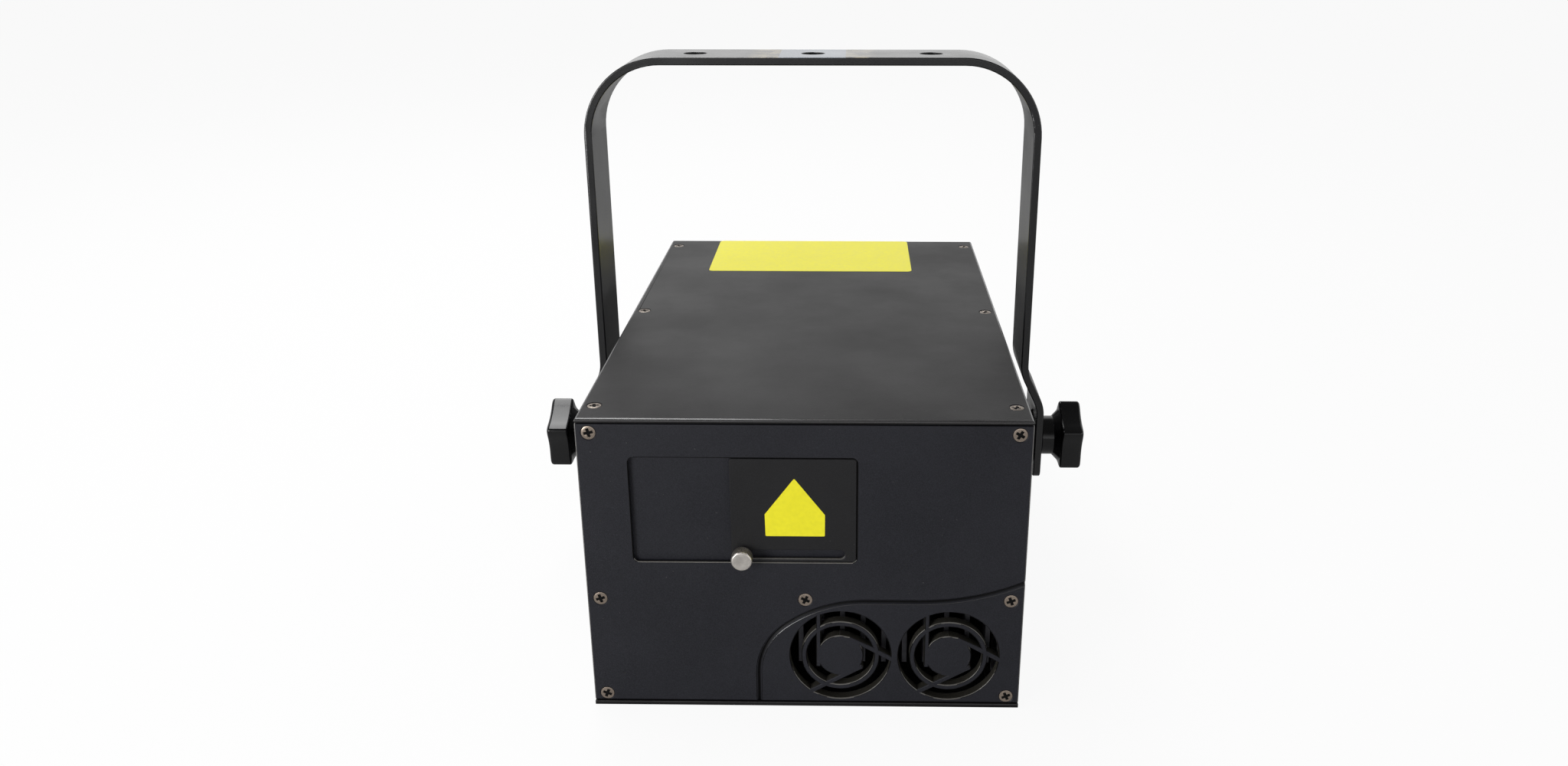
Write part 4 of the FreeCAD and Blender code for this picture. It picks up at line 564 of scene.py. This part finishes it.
PANEL_SIDE = 98.5
COVER_SIDE, COVER_END = 98.0, 156.0
SILL_LOW, SILL_HIGH = 74.0, 78.0
LINTEL = 126.0
SHUTTER_LEFT, SHUTTER_RIGHT, SHUTTER_MIDDLE = -33.0, 45.0, 100.0
GROOVE_LEFT, GROOVE_LOW, GROOVE_HIGH, LIP_DEPTH = -24.0, 1.5, 73.0, 1.0
GRILLE_POINTS = [(16.1, 27.7), (66.3, 27.7)]
GRILLE_RADIUS, GRILLE_DEPTH = 24.0, 5.5
SPOKE_TURN = math.radians(240)
SPOKE_STEP, SPOKE_TANGENT, SPOKE_REACH = (-11.35, -6.0), (-10.7, -1.2), 0.3


def at_screw(across, up, points):
    """True on the rim of a screw's countersink."""
    return any(math.hypot(across - x, up - z) < SCREW_REACH for x, z in points)


def at_front_screw(point):
    return at_screw(point.x, point.z, FRONT_POINTS)


def at_rear_screw(point):
    return at_screw(point.x, point.z, REAR_POINTS)


def at_deck_screw(point):
    return at_screw(point.x, point.y, DECK_POINTS)


def nowhere(point):
    return False


def grille_middle(point):
    """The middle of the grille that a point belongs to, or None."""
    for x, z in GRILLE_POINTS:
        if point.y < FRONT_FACE + GRILLE_DEPTH and math.hypot(point.x - x, point.z - z) < GRILLE_RADIUS:
            return Vector((x, z))
    return None


def along_ring(point, normal):
    """True where a slot's edge follows the grille's rings and not a spoke."""
    out = Vector((point.x, point.z)) - grille_middle(point)
    return abs(out.normalized().dot(Vector((normal.x, normal.z)).normalized())) > 0.95


def on_groove(point):
    """True on the lips of the front panel's S-shaped groove."""
    across = GROOVE_LEFT < point.x < PANEL_SIDE
    upright = GROOVE_LOW < point.z < GROOVE_HIGH
    return across and upright and point.y < FRONT_FACE + LIP_DEPTH and grille_middle(point) is None


def panel_zone(point, normal, bevelled):
    """Materials of the front and rear panels.

    Paint on the upright outer edges is pale, as thin worn paint and as a painted highlight. Broken edges that
    face up are glossy and paler, a painted highlight, brightest on the shutter recess's sill and the grilles'
    rings.
    Upright ones, and the one above the shutter, get painted shade. The grilles' walls get a paler rough
    paint: a rough cut surface, and painted light where the walls lie in shade.
    """
    if abs(point.x) > PANEL_SIDE and SLANTED < abs(normal.x) < NEARLY_SQUARE:
        return WORN_AND_HIGHLIT
    in_grille = grille_middle(point) is not None
    if bevelled and normal.z > LEANING:
        if in_grille:
            return LIP_SHINE if along_ring(point, normal) else PAINT
        return LIP_SHINE if SILL_LOW < point.z < SILL_HIGH else EDGE
    over_shutter = point.z > LINTEL and SHUTTER_LEFT < point.x < SHUTTER_RIGHT
    if bevelled and (normal.z > -LEANING or over_shutter):
        return PAINTED_SHADE
    return CUT_AND_LIT if in_grille and point.y > FRONT_FACE + 0.1 and abs(normal.y) < 0.3 else PAINT


def cover_zone(point, normal, bevelled):
    """The cover's outer upper edges are glossy and paler: a painted highlight."""
    outer = abs(point.x) > COVER_SIDE or abs(point.y) > COVER_END
    return EDGE if outer and SLANTED < normal.z < NEARLY_SQUARE else PAINT


def shutter_zone(point, normal, bevelled):
    """The plate's upper edge gets painted shade, and its slot's lower edge a painted highlight."""
    if bevelled and normal.z > 0.5:
        return PAINTED_SHADE if point.z > SHUTTER_MIDDLE else LIP_SHINE
    return EDGE if bevelled and normal.z > 0.1 else PAINT


def edge_zone(point, normal, bevelled):
    # Broken edges take the paler, glossier edge paint, a painted highlight
    return EDGE if bevelled else PAINT


def front_mesh():
    """The front panel's surface, where each grille's right-hand spoke leaves the disc without a step."""
    mesh = cad_mesh("front_panel")
    turn = Matrix.Rotation(SPOKE_TURN, 2)
    step, tangent = turn @ Vector(SPOKE_STEP), turn @ Vector(SPOKE_TANGENT)
    for vert in mesh.vertices:
        for middle in GRILLE_POINTS:
            here = Vector((vert.co.x, vert.co.z)) / MM - Vector(middle)
            if (here - step).length < SPOKE_REACH:
                vert.co.x, vert.co.z = (Vector(middle) + tangent) * MM
    return mesh


for name, node, width, zone, crisp, paint, body in (
        ("front_plate", "front_panel", 0.45, panel_zone, at_front_screw, "front_paint", "housing"),
        ("rear_plate", "rear_panel", 0.35, panel_zone, at_rear_screw, "case_black", "housing"),
        ("cover_sheet", "top_cover", 0.25, cover_zone, at_deck_screw, "case_black", "housing"),
        ("base_sheet", "base_plate", 0.3, edge_zone, at_deck_screw, "case_black", "housing"),
        ("shutter_slab", "shutter_plate", 0.55, shutter_zone, nowhere, "shutter_black", "shutter"),
        ("yoke_bar", "yoke", 0.25, edge_zone, nowhere, "yoke_black", "yoke")):
    is_front = node == "front_panel"
    surface = front_mesh() if is_front else cad_mesh(node)
    shape = softened(surface, width, zone, crisp, on_groove if is_front else nowhere)
    paints = [paint, "edge_highlight_paint", "worn_and_highlight_paint", "cut_and_lit_paint", "recess_dark", "slot_shine"]
    piece(name, shape, paints, body, [node], FLAT_CREASE, FLAT_AREA)


# Countersunk and pan-head screws with crosses

COUNTERSUNK_PROFILE = [(0, -0.02), (1.2, -0.03), (2.3, -0.07), (2.9, -0.13), (3.12, -0.2), (3.2, -0.32),
                       (2.0, -1.5), (2.0, -10.7), (1.6, -11.1), (0, -11.1)]
PAN_PROFILE = [(0, 1.0), (0.9, 0.97), (1.6, 0.85), (2.1, 0.62), (2.4, 0.3), (2.45, 0.0), (1.2, 0.0),
               (1.2, -2.0), (0, -2.0)]

# The turns of a row's screws, in degrees
SPIN_START, SPIN_STEP, QUARTER = 13, 47, 90


def cross_outline(length, width):
    """A cross whose four arms have a length from the middle and half a width."""
    points = []
    arm = [(length, -width), (length, width), (width, width)]
    for _ in range(4):
        points += arm
        arm = [(-y, x) for x, y in arm]
    return points


def cross_recess(length, width, depth):
    """A tapered cross-shaped cutter that reaches depth below the head's top."""
    return prism(cross_outline(length, width), -depth, 0.4, taper=0.8)


screw_cross = cross_recess(length=2.2, width=0.72, depth=2.1)
countersunk = carved(lathe(COUNTERSUNK_PROFILE, 48), screw_cross, bevel=0.06)
# A near-black cross just below each head's top: painted shade down in the screw's cross recess
cross_shade_insert = prism(cross_outline(length=1.98, width=0.62), low=-1.6, high=-0.3, taper=0.9)
pan_cross = cross_recess(length=1.5, width=0.36, depth=0.9)
pan_head = carved(lathe(PAN_PROFILE, 40), pan_cross, bevel=0.05)


def screw_row(name, axis, points, stands_for, finish):
    """Screws that face one way; each is turned to its own angle and has a near-black cross of painted shade
    set down in its recess.
    """
    places = []
    for i, point in enumerate(points):
        spin = Matrix.Rotation(math.radians((i * SPIN_STEP + SPIN_START) % QUARTER), 4, "Z")
        places.append(facing(axis, point) @ spin)
    piece(f"{name}_shade_insert", joined(cross_shade_insert, places), "recess_dark", "housing")
    piece(name, joined(countersunk, places), finish, "housing", [stands_for])


front_places = [(x, FRONT_FACE, z) for x, z in FRONT_POINTS]
rear_places = [(x, REAR_FACE, z) for x, z in REAR_POINTS]
screw_row("front_screw_heads", (0, -1, 0), front_places, "front_screws", "screw_nickel")
screw_row("rear_screw_heads", (0, 1, 0), rear_places, "rear_screws", "screw_nickel")
screw_row("top_screw_heads", (0, 0, 1), [(x, y, DECK) for x, y in DECK_POINTS], "top_screws", "dull_nickel")
screw_row("base_screw_heads", (0, 0, -1), [(x, y, 0.0) for x, y in DECK_POINTS], "base_screws", "dull_nickel")


# Knurled thumbscrew

THUMBSCREW_PLACE = (-28.1, FRONT_FACE - 0.1, 80.5)
RIDGES = 44
RIDGE_SHARES = (0.0, 0.6, 1.0, 0.6)


def knurled_screw():
    """Shank, collar and a straight-knurled head whose end is faced flat."""
    count = RIDGES * len(RIDGE_SHARES)

    def toothed(radius, height, depth):
        def reach(i):
            return radius - depth * (1 - RIDGE_SHARES[i % len(RIDGE_SHARES)])
        return polar(reach, height, count)

    face = turned([(0, 7.36), (2.0, 7.38), (3.9, 7.4), (4.2, 7.34)], count)
    head = [toothed(4.5, 7.1, 0.1), toothed(4.78, 6.8, 0.3), toothed(4.8, 6.6, 0.34),
            toothed(4.8, 2.0, 0.34), toothed(4.74, 1.8, 0.28), toothed(4.4, 1.45, 0.05)]
    shank = turned([(4.2, 1.4), (3.6, 1.38), (3.6, 0.1), (3.5, 0), (1.9, 0), (1.9, -4.6), (1.6, -4.9),
                    (0, -4.9)], count)
    mesh = skinned(face + head + shank)
    mesh.transform(facing((0, -1, 0), THUMBSCREW_PLACE))
    return mesh


piece("thumbscrew_knurled", knurled_screw(), "thumb_nickel", "thumbscrew", ["thumbscrew"])


# Star knobs

KNOB_SEAT = 127.8
KNOB_LENGTH, KNOB_MIDDLE, KNOB_BACK = 21.9, 16.0, 10.3
KNOB_EDGE, KNOB_BACK_EDGE = 1.8, 0.9
KNOB_RIM, KNOB_SOFT = 19.7, 2.6
SCALLOP_DISTANCE, SCALLOP_RADIUS = 49.4, 34.0
KNOB_SIDES, KNOB_POINTS = 5, 360
KNOB_SPIN = math.radians(61)


def star_reach(turn):
    """The knob's outline: a circle cut by five large scallops, with the corners between them softened."""
    half_side = math.pi / KNOB_SIDES
    off = (turn + half_side) % (2 * half_side) - half_side
    across = SCALLOP_DISTANCE * math.sin(off)
    if abs(across) >= SCALLOP_RADIUS:
        return KNOB_RIM
    hollow = SCALLOP_DISTANCE * math.cos(off) - math.sqrt(SCALLOP_RADIUS ** 2 - across ** 2)
    gap = max(KNOB_SOFT - abs(KNOB_RIM - hollow), 0) / KNOB_SOFT
    return min(KNOB_RIM, hollow) - gap * gap * KNOB_SOFT / 4


def star_knob():
    """Five slightly hollow sides, a short cone under a flat back and a turned neck; +Z is the outer end."""
    def star(inset, height):
        return polar(lambda i: star_reach(2 * math.pi * i / KNOB_POINTS) - inset, height, KNOB_POINTS)

    dish = [(0, 1.0), (3.0, 0.93), (5.5, 0.72), (7.5, 0.45), (9.0, 0.1), (9.6, 0.0), (12.6, 0.0)]
    rings = turned([(radius, KNOB_LENGTH - drop) for radius, drop in dish], KNOB_POINTS)
    for k in range(9):
        turn = math.pi / 2 * k / 8
        inset = KNOB_EDGE * (1 - math.sin(turn))
        rings.append(star(inset, KNOB_LENGTH - KNOB_EDGE + KNOB_EDGE * math.cos(turn)))
    rings.append(star(0.0, KNOB_MIDDLE))
    for k in range(7):
        turn = math.pi / 2 * k / 6
        inset = KNOB_BACK_EDGE * (1 - math.cos(turn))
        rings.append(star(inset, KNOB_BACK + KNOB_BACK_EDGE * (1 - math.sin(turn))))
    neck = [(14.6, 10.2), (14.2, 9.9), (11.4, 7.2), (11.0, 6.8), (10.9, 6.3), (10.9, 0.5), (10.4, 0.0),
            (4.0, 0.0), (4.0, 12.0), (0, 12.0)]
    return skinned(rings + turned(neck, KNOB_POINTS))


knob_mesh = star_knob()
for side, sign in (("left", -1), ("right", 1)):
    grip = knob_mesh.copy()
    valley = Matrix.Rotation(-math.pi / 2 - sign * KNOB_SPIN, 4, "Z")
    lay = Matrix.Rotation(sign * math.pi / 2, 4, "Y")
    grip.transform(Matrix.Translation((sign * KNOB_SEAT * MM, 0, PIVOT_Z * MM)) @ lay @ valley)
    piece(f"star_knob_{side}", grip, "knob_black", f"knob_{side}", [f"knob_{side}"])


# Fittings on the rear panel

INLET_X, INLET_Z, INLET_FLOOR, INLET_SCREW = 58.0, 30.0, 142.0, 20.0
SWITCH_X, SWITCH_Y, SWITCH_Z = 18.0, 158.5, 30.0
CONTROL_IN_X, CONTROL_OUT_X, CONTROL_Z, CONTROL_FLOOR = -68.0, -34.0, 88.0, 147.0
CONTROL_SCREW_X, CONTROL_SCREW_Z = 9.5, 12.0
LATCH_Z, RIB_Z, RIB_PITCH = 100.4, 99.7, 0.7
FLANGE_SPIN = 0.9
KEY_X, KEY_Z = 77.0, 112.0
DISPLAY_X, DISPLAY_Z = 32.0, 120.0
BUTTON_X, BUTTON_PITCH, BUTTON_Y, BUTTON_Z = 14.0, 12.0, 150.3, 98.0
SIGNAL_X, SIGNAL_Z = -45.0, 122.0


def rectangle(width, rise):
    return [(-width / 2, -rise / 2), (width / 2, -rise / 2), (width / 2, rise / 2), (-width / 2, rise / 2)]


def rear(x, y, z):
    """A matrix that carries a piece's +Z out of the rear panel, with its Y axis upwards."""
    return Matrix(((-1, 0, 0, x * MM), (0, 0, 1, y * MM), (0, 1, 0, z * MM), (0, 0, 0, 1)))


def rounded_box(width, rise, low, high, radius=0.4, edge=0.15):
    """A block over a rounded rectangle whose outer edge is broken."""
    draft = bmesh.new()
    rings = []
    for inset, height in ((0.0, low), (0.0, high - edge), (edge * 0.3, high - edge * 0.3), (edge, high)):
        outline = rounded_outline(rectangle(width - inset * 2, rise - inset * 2), max(radius - inset, 0.05))
        rings.append([Vector((x * MM, y * MM, height * MM)) for x, y in outline])
    made = skin(draft, rings)
    draft.faces.new(made[0])
    draft.faces.new(made[-1])
    return mesh_of(draft)


def tube(outer, inner, low, high, edge, count):
    """A turned ring with its outer end rounded."""
    return lathe([(inner, low), (inner, high - edge), (inner + edge, high), (outer - edge, high),
                  (outer, high - edge), (outer, low), (inner, low)], count)


# Mains inlet: plated blades over the moulded pins
blade = rounded_box(width=2.3, rise=4.3, low=-0.2, high=12.1, radius=0.5, edge=0.6)
blade_shifts = ((-7, -2), (0, 2), (7, -2))
blade_places = [rear(INLET_X + shift, INLET_FLOOR, INLET_Z + lift) for shift, lift in blade_shifts]
piece("inlet_blades", joined(blade, blade_places), "socket_metal", "housing")

# Screws in the flanges of the mains inlet and of the control sockets
flange_places = [rear(INLET_X + sign * INLET_SCREW, FLANGE_FACE, INLET_Z) for sign in (-1, 1)]
for x in (CONTROL_IN_X, CONTROL_OUT_X):
    flange_places += [rear(x + sign * CONTROL_SCREW_X, FLANGE_FACE, CONTROL_Z - sign * CONTROL_SCREW_Z)
                      for sign in (-1, 1)]
turned_places = [place @ Matrix.Rotation(FLANGE_SPIN * i, 4, "Z") for i, place in enumerate(flange_places)]
piece("flange_screws", joined(pan_head, turned_places), "black_washer", "housing")

# Control sockets: pins and a collar in the inlet; a collar, sleeves and a latch on the outlet
POLES = [(3.64, -2.1), (-3.64, -2.1), (0.0, 4.2)]
collar = tube(outer=10.7, inner=9.5, low=-0.3, high=0.9, edge=0.35, count=64)
collar_places = [rear(x, FLANGE_FACE, CONTROL_Z) for x in (CONTROL_IN_X, CONTROL_OUT_X)]
piece("control_collars", joined(collar, collar_places), "socket_metal", "housing")
pin = lathe([(0, 8.3), (0.8, 8.2), (1.2, 7.7), (1.34, 7.0), (1.34, -0.2), (0, -0.2)], 24)
pin_places = [rear(CONTROL_IN_X + x, CONTROL_FLOOR, CONTROL_Z - z) for x, z in POLES]
piece("control_pins", joined(pin, pin_places), "contact_metal", "housing")
sleeve = tube(outer=1.95, inner=1.2, low=-0.3, high=0.3, edge=0.12, count=28)
sleeve_places = [rear(CONTROL_OUT_X + x, FLANGE_FACE, CONTROL_Z - z) for x, z in POLES]
piece("control_sleeves", joined(sleeve, sleeve_places), "contact_metal", "housing")
latch_block = rounded_box(width=7.0, rise=3.4, low=-0.2, high=1.3, radius=0.8, edge=0.5)
latch_rib = rounded_box(width=5.2, rise=0.35, low=1.2, high=1.55, radius=0.15, edge=0.1)
latch = [(latch_block, rear(CONTROL_OUT_X, FLANGE_FACE, LATCH_Z))]
latch += [(latch_rib, rear(CONTROL_OUT_X, FLANGE_FACE, RIB_Z + k * RIB_PITCH)) for k in range(3)]
piece("control_latch", assembled(latch), "button_grey", "housing")

# Power rocker: grip ridges that lie on its upper face and tip with it
ROCKER_REST, ROCKER_LEAN = math.radians(10), math.radians(9.2)
ROCKER_OUT, ROCKER_SLOPE = 1.4, 0.162
rocker_place = Matrix.Translation((SWITCH_X * MM, SWITCH_Y * MM, SWITCH_Z * MM))
rocker_place @= Matrix.Rotation(ROCKER_REST, 4, "X")
rocker_lean = Matrix.Rotation(ROCKER_LEAN, 4, "X").inverted() @ rear(0, 0, 0)
ridge = rounded_box(width=8.2, rise=0.6, low=-0.25, high=0.32, radius=0.28, edge=0.2)
ridge_spots = [Vector((0, ROCKER_OUT + ROCKER_SLOPE * z, z)) * MM for z in (2.9, 4.1, 5.3, 6.5)]
ridge_places = [rocker_place @ Matrix.Translation(spot) @ rocker_lean for spot in ridge_spots]
piece("rocker_ridges", joined(ridge, ridge_places), "button_grey", "power_rocker")

# Key switch: a turned face ring round the rotor
key_ring = lathe([(5.5, -0.3), (5.5, 0.35), (5.75, 0.6), (7.6, 0.6), (7.8, 0.42), (8.1, 0.42), (8.3, 0.6),
                  (9.9, 0.5), (10.3, 0.2), (10.4, -0.3), (5.5, -0.3)], 72)
key_ring.transform(rear(KEY_X, FLANGE_FACE, KEY_Z))
piece("key_ring", key_ring, "socket_metal", "housing")

# Display: a bezel round the window
bezel_block = rounded_box(width=50.0, rise=24.0, low=-0.3, high=0.8, radius=2.0, edge=0.4)
bezel = carved(bezel_block, prism(rounded_outline(rectangle(44.6, 18.6), 0.8), low=-1, high=2))
bezel.transform(rear(DISPLAY_X, REAR_FACE, DISPLAY_Z))
piece("display_bezel", bezel, "fitting_black", "housing")

# Menu buttons: domed caps over a collar
CAP_PROFILE = [(0, 9.7), (1.2, 9.66), (2.1, 9.5), (2.7, 9.15), (2.96, 8.6), (3.0, 8.0), (3.0, 4.5),
               (4.0, 4.5), (4.0, 3.0), (3.0, 3.0), (3.0, 0.0), (0, 0.0)]
for k in range(4):
    cap = lathe(CAP_PROFILE, 40)
    cap.transform(rear(BUTTON_X + BUTTON_PITCH * k, BUTTON_Y, BUTTON_Z))
    button = f"menu_button_{k + 1}"
    piece(f"button_cap_{k + 1}", cap, "button_grey", button, [button])

# Signal socket: hollow D shell on a flange, insulator with two rows of contacts, two hexagonal posts
signal_place = rear(SIGNAL_X, REAR_FACE, SIGNAL_Z)
POST_RADIUS, POST_SHIFT = 2.6, 23.5
CONTACT_PITCH, CONTACT_ROWS = 2.77, ((13, 1.42), (12, -1.42))


def d_outline(inset):
    """The socket's D shape, drawn in by an inset."""
    wide, narrow, rise = 19.5 - inset, 18.1 - inset, 4.2 - inset
    return rounded_outline([(-narrow, -rise), (narrow, -rise), (wide, rise), (-wide, rise)], 1.8 - inset)


def signal_shift(x, y):
    """A place on the signal socket, in millimetres from its middle."""
    return signal_place @ Matrix.Translation((x * MM, y * MM, 0))


shell_hollow = prism(d_outline(0.55), low=-1.0, high=7.0)
shell = carved(prism(d_outline(0.0), low=0.0, high=6.2), shell_hollow, bevel=0.12)
corners = [math.pi / 3 * k for k in range(6)]
hexagon = [(POST_RADIUS * math.cos(corner), POST_RADIUS * math.sin(corner)) for corner in corners]
thread = lathe([(0, 7.0), (1.4, 7.0), (1.4, 2.5), (0, 2.5)], 24)
post = carved(prism(hexagon, low=1.2, high=6.2), thread, bevel=0.15)
flange = rounded_box(width=53.0, rise=12.5, low=0.0, high=1.2, radius=1.6, edge=0.25)
metalwork = [(shell, signal_place), (flange, signal_place)]
metalwork += [(post, signal_shift(sign * POST_SHIFT, 0)) for sign in (-1, 1)]
piece("signal_shell", assembled(metalwork), "socket_metal", "housing", ["signal_socket"])
insulator = [prism(d_outline(0.6), low=0.4, high=5.2),
             rounded_box(width=40.0, rise=10.0, low=-13.4, high=0.0)]
piece("signal_insulator", assembled([(mesh, signal_place) for mesh in insulator]), "fitting_black", "housing")
contact = tube(outer=0.62, inner=0.3, low=4.9, high=5.4, edge=0.1, count=16)
contact_places = [signal_shift((k - (count - 1) / 2) * CONTACT_PITCH, y)
                  for count, y in CONTACT_ROWS for k in range(count)]
piece("signal_contacts", joined(contact, contact_places), "contact_metal", "housing")


# Blank yellow stickers

FILM_THICKNESS = 0.09
SHUTTER_FACE = -157.95
SHUTTER_STICKER = [(-17.6, 89.7), (9.0, 89.7), (9.1, 100.3), (-4.5, 118.1), (-17.8, 100.5)]
TOP_STICKER = [(-67.5, 82.0), (57.0, 82.0), (57.0, 157.0), (-67.5, 157.0)]


def sticker(name, corners, radius, matrix, body, finish):
    """A thin film over rounded corners, laid on a face by a matrix."""
    film = prism(rounded_outline(corners, radius), 0.0, FILM_THICKNESS)
    film.transform(matrix)
    piece(name, film, finish, body)


on_shutter = Matrix(((1, 0, 0, 0), (0, 0, -1, SHUTTER_FACE * MM), (0, 1, 0, 0), (0, 0, 0, 1)))
on_cover = Matrix.Translation((0, 0, DECK * MM))
sticker("shutter_sticker", SHUTTER_STICKER, 0.5, on_shutter, "shutter", "yellow_warning")
sticker("top_sticker", TOP_STICKER, 3.0, on_cover, "housing", "yellow_film")


# Floor, light and background; lengths are in metres

WHITE = (1, 1, 1, 1)
PAPER = (0.86, 0.86, 0.86, 1)
FLOOR_HALF = 6.0
FLOOR_LEVEL = -0.0004
FLOOR_WHITENESS, FLOOR_MIRRORED = 0.93, 0.32
ROOM_LIGHT, BACKDROP = 0.25, 1.0


def make_floor():
    """Paper that takes the object's shadow and looks nearly white to the camera."""
    paper = bpy.data.materials.new("floor_paper")
    paper.use_nodes = True
    graph = Graph(paper.node_tree)
    shader = graph.tree.nodes["Principled BSDF"]
    for socket, value in (("Base Color", PAPER), ("Roughness", 0.9), ("Specular IOR Level", 0.1)):
        shader.inputs[socket].default_value = value
    glow = graph.node("ShaderNodeEmission")
    graph.link(graph.remap(graph.ray("Glossy"), (0.0, 1.0), (1.0, FLOOR_MIRRORED)), glow.inputs["Strength"])
    whiteness = graph.math("MULTIPLY", graph.seen(), FLOOR_WHITENESS)
    surface = graph.mixed(whiteness, shader.outputs[0], glow.outputs[0])
    graph.link(surface, graph.tree.nodes["Material Output"].inputs["Surface"])

    mesh = bpy.data.meshes.new("floor")
    corners = [(x * FLOOR_HALF, y * FLOOR_HALF, FLOOR_LEVEL) for x, y in ((-1, -1), (1, -1), (1, 1), (-1, 1))]
    mesh.from_pydata(corners, [], [(0, 1, 2, 3)])
    mesh.materials.append(paper)
    floor = bpy.data.objects.new("floor", mesh)
    bpy.context.scene.collection.objects.link(floor)


def room_brightness(graph):
    """What glossy paint mirrors: a pale backdrop low down and behind, a darker room overhead and in front."""
    way = graph.axes(graph.node("ShaderNodeTexCoord").outputs["Generated"])
    lean = graph.math("MULTIPLY_ADD", way["Y"], -0.25, way["Z"])
    return graph.remap(lean, (0.25, 0.75), (1.0, 0.1), interpolation_type="SMOOTHSTEP")


def make_world():
    """Soft light all round, white where it is seen, and the room where paint mirrors it."""
    world = bpy.data.worlds.new("studio")
    world.use_nodes = True
    bpy.context.scene.world = world
    graph = Graph(world.node_tree)
    light = graph.tree.nodes["Background"]
    backdrop, room = graph.node("ShaderNodeBackground"), graph.node("ShaderNodeBackground")
    for background in (light, backdrop, room):
        background.inputs["Color"].default_value = WHITE
    light.inputs["Strength"].default_value = ROOM_LIGHT
    backdrop.inputs["Strength"].default_value = BACKDROP
    graph.link(room_brightness(graph), room.inputs["Strength"])
    plain = graph.mixed(graph.seen(), light.outputs[0], backdrop.outputs[0])
    surface = graph.mixed(graph.ray("Glossy"), plain, room.outputs[0])
    graph.link(surface, graph.tree.nodes["World Output"].inputs["Surface"])


def area_light(name, place, target, size, power):
    data = bpy.data.lights.new(name, "AREA")
    data.shape = "RECTANGLE"
    data.size, data.size_y = size
    data.energy = power
    item = bpy.data.objects.new(name, data)
    item.location = place
    aim = Vector(target) - Vector(place)
    item.rotation_euler = aim.to_track_quat("-Z", "Y").to_euler()
    bpy.context.scene.collection.objects.link(item)


make_floor()
make_world()
area_light("overhead_strip", place=(-0.37, 0.55, 1.25), target=(-0.37, 0.55, 0), size=(0.56, 1.6), power=16.0)
area_light("left_panel", place=(-0.95, -1.2, 0.32), target=(0, 0, 0.1), size=(0.6, 0.6), power=11.0)
area_light("right_panel", place=(1.3, -0.9, 0.5), target=(0, 0, 0.12), size=(0.5, 0.9), power=2.0)
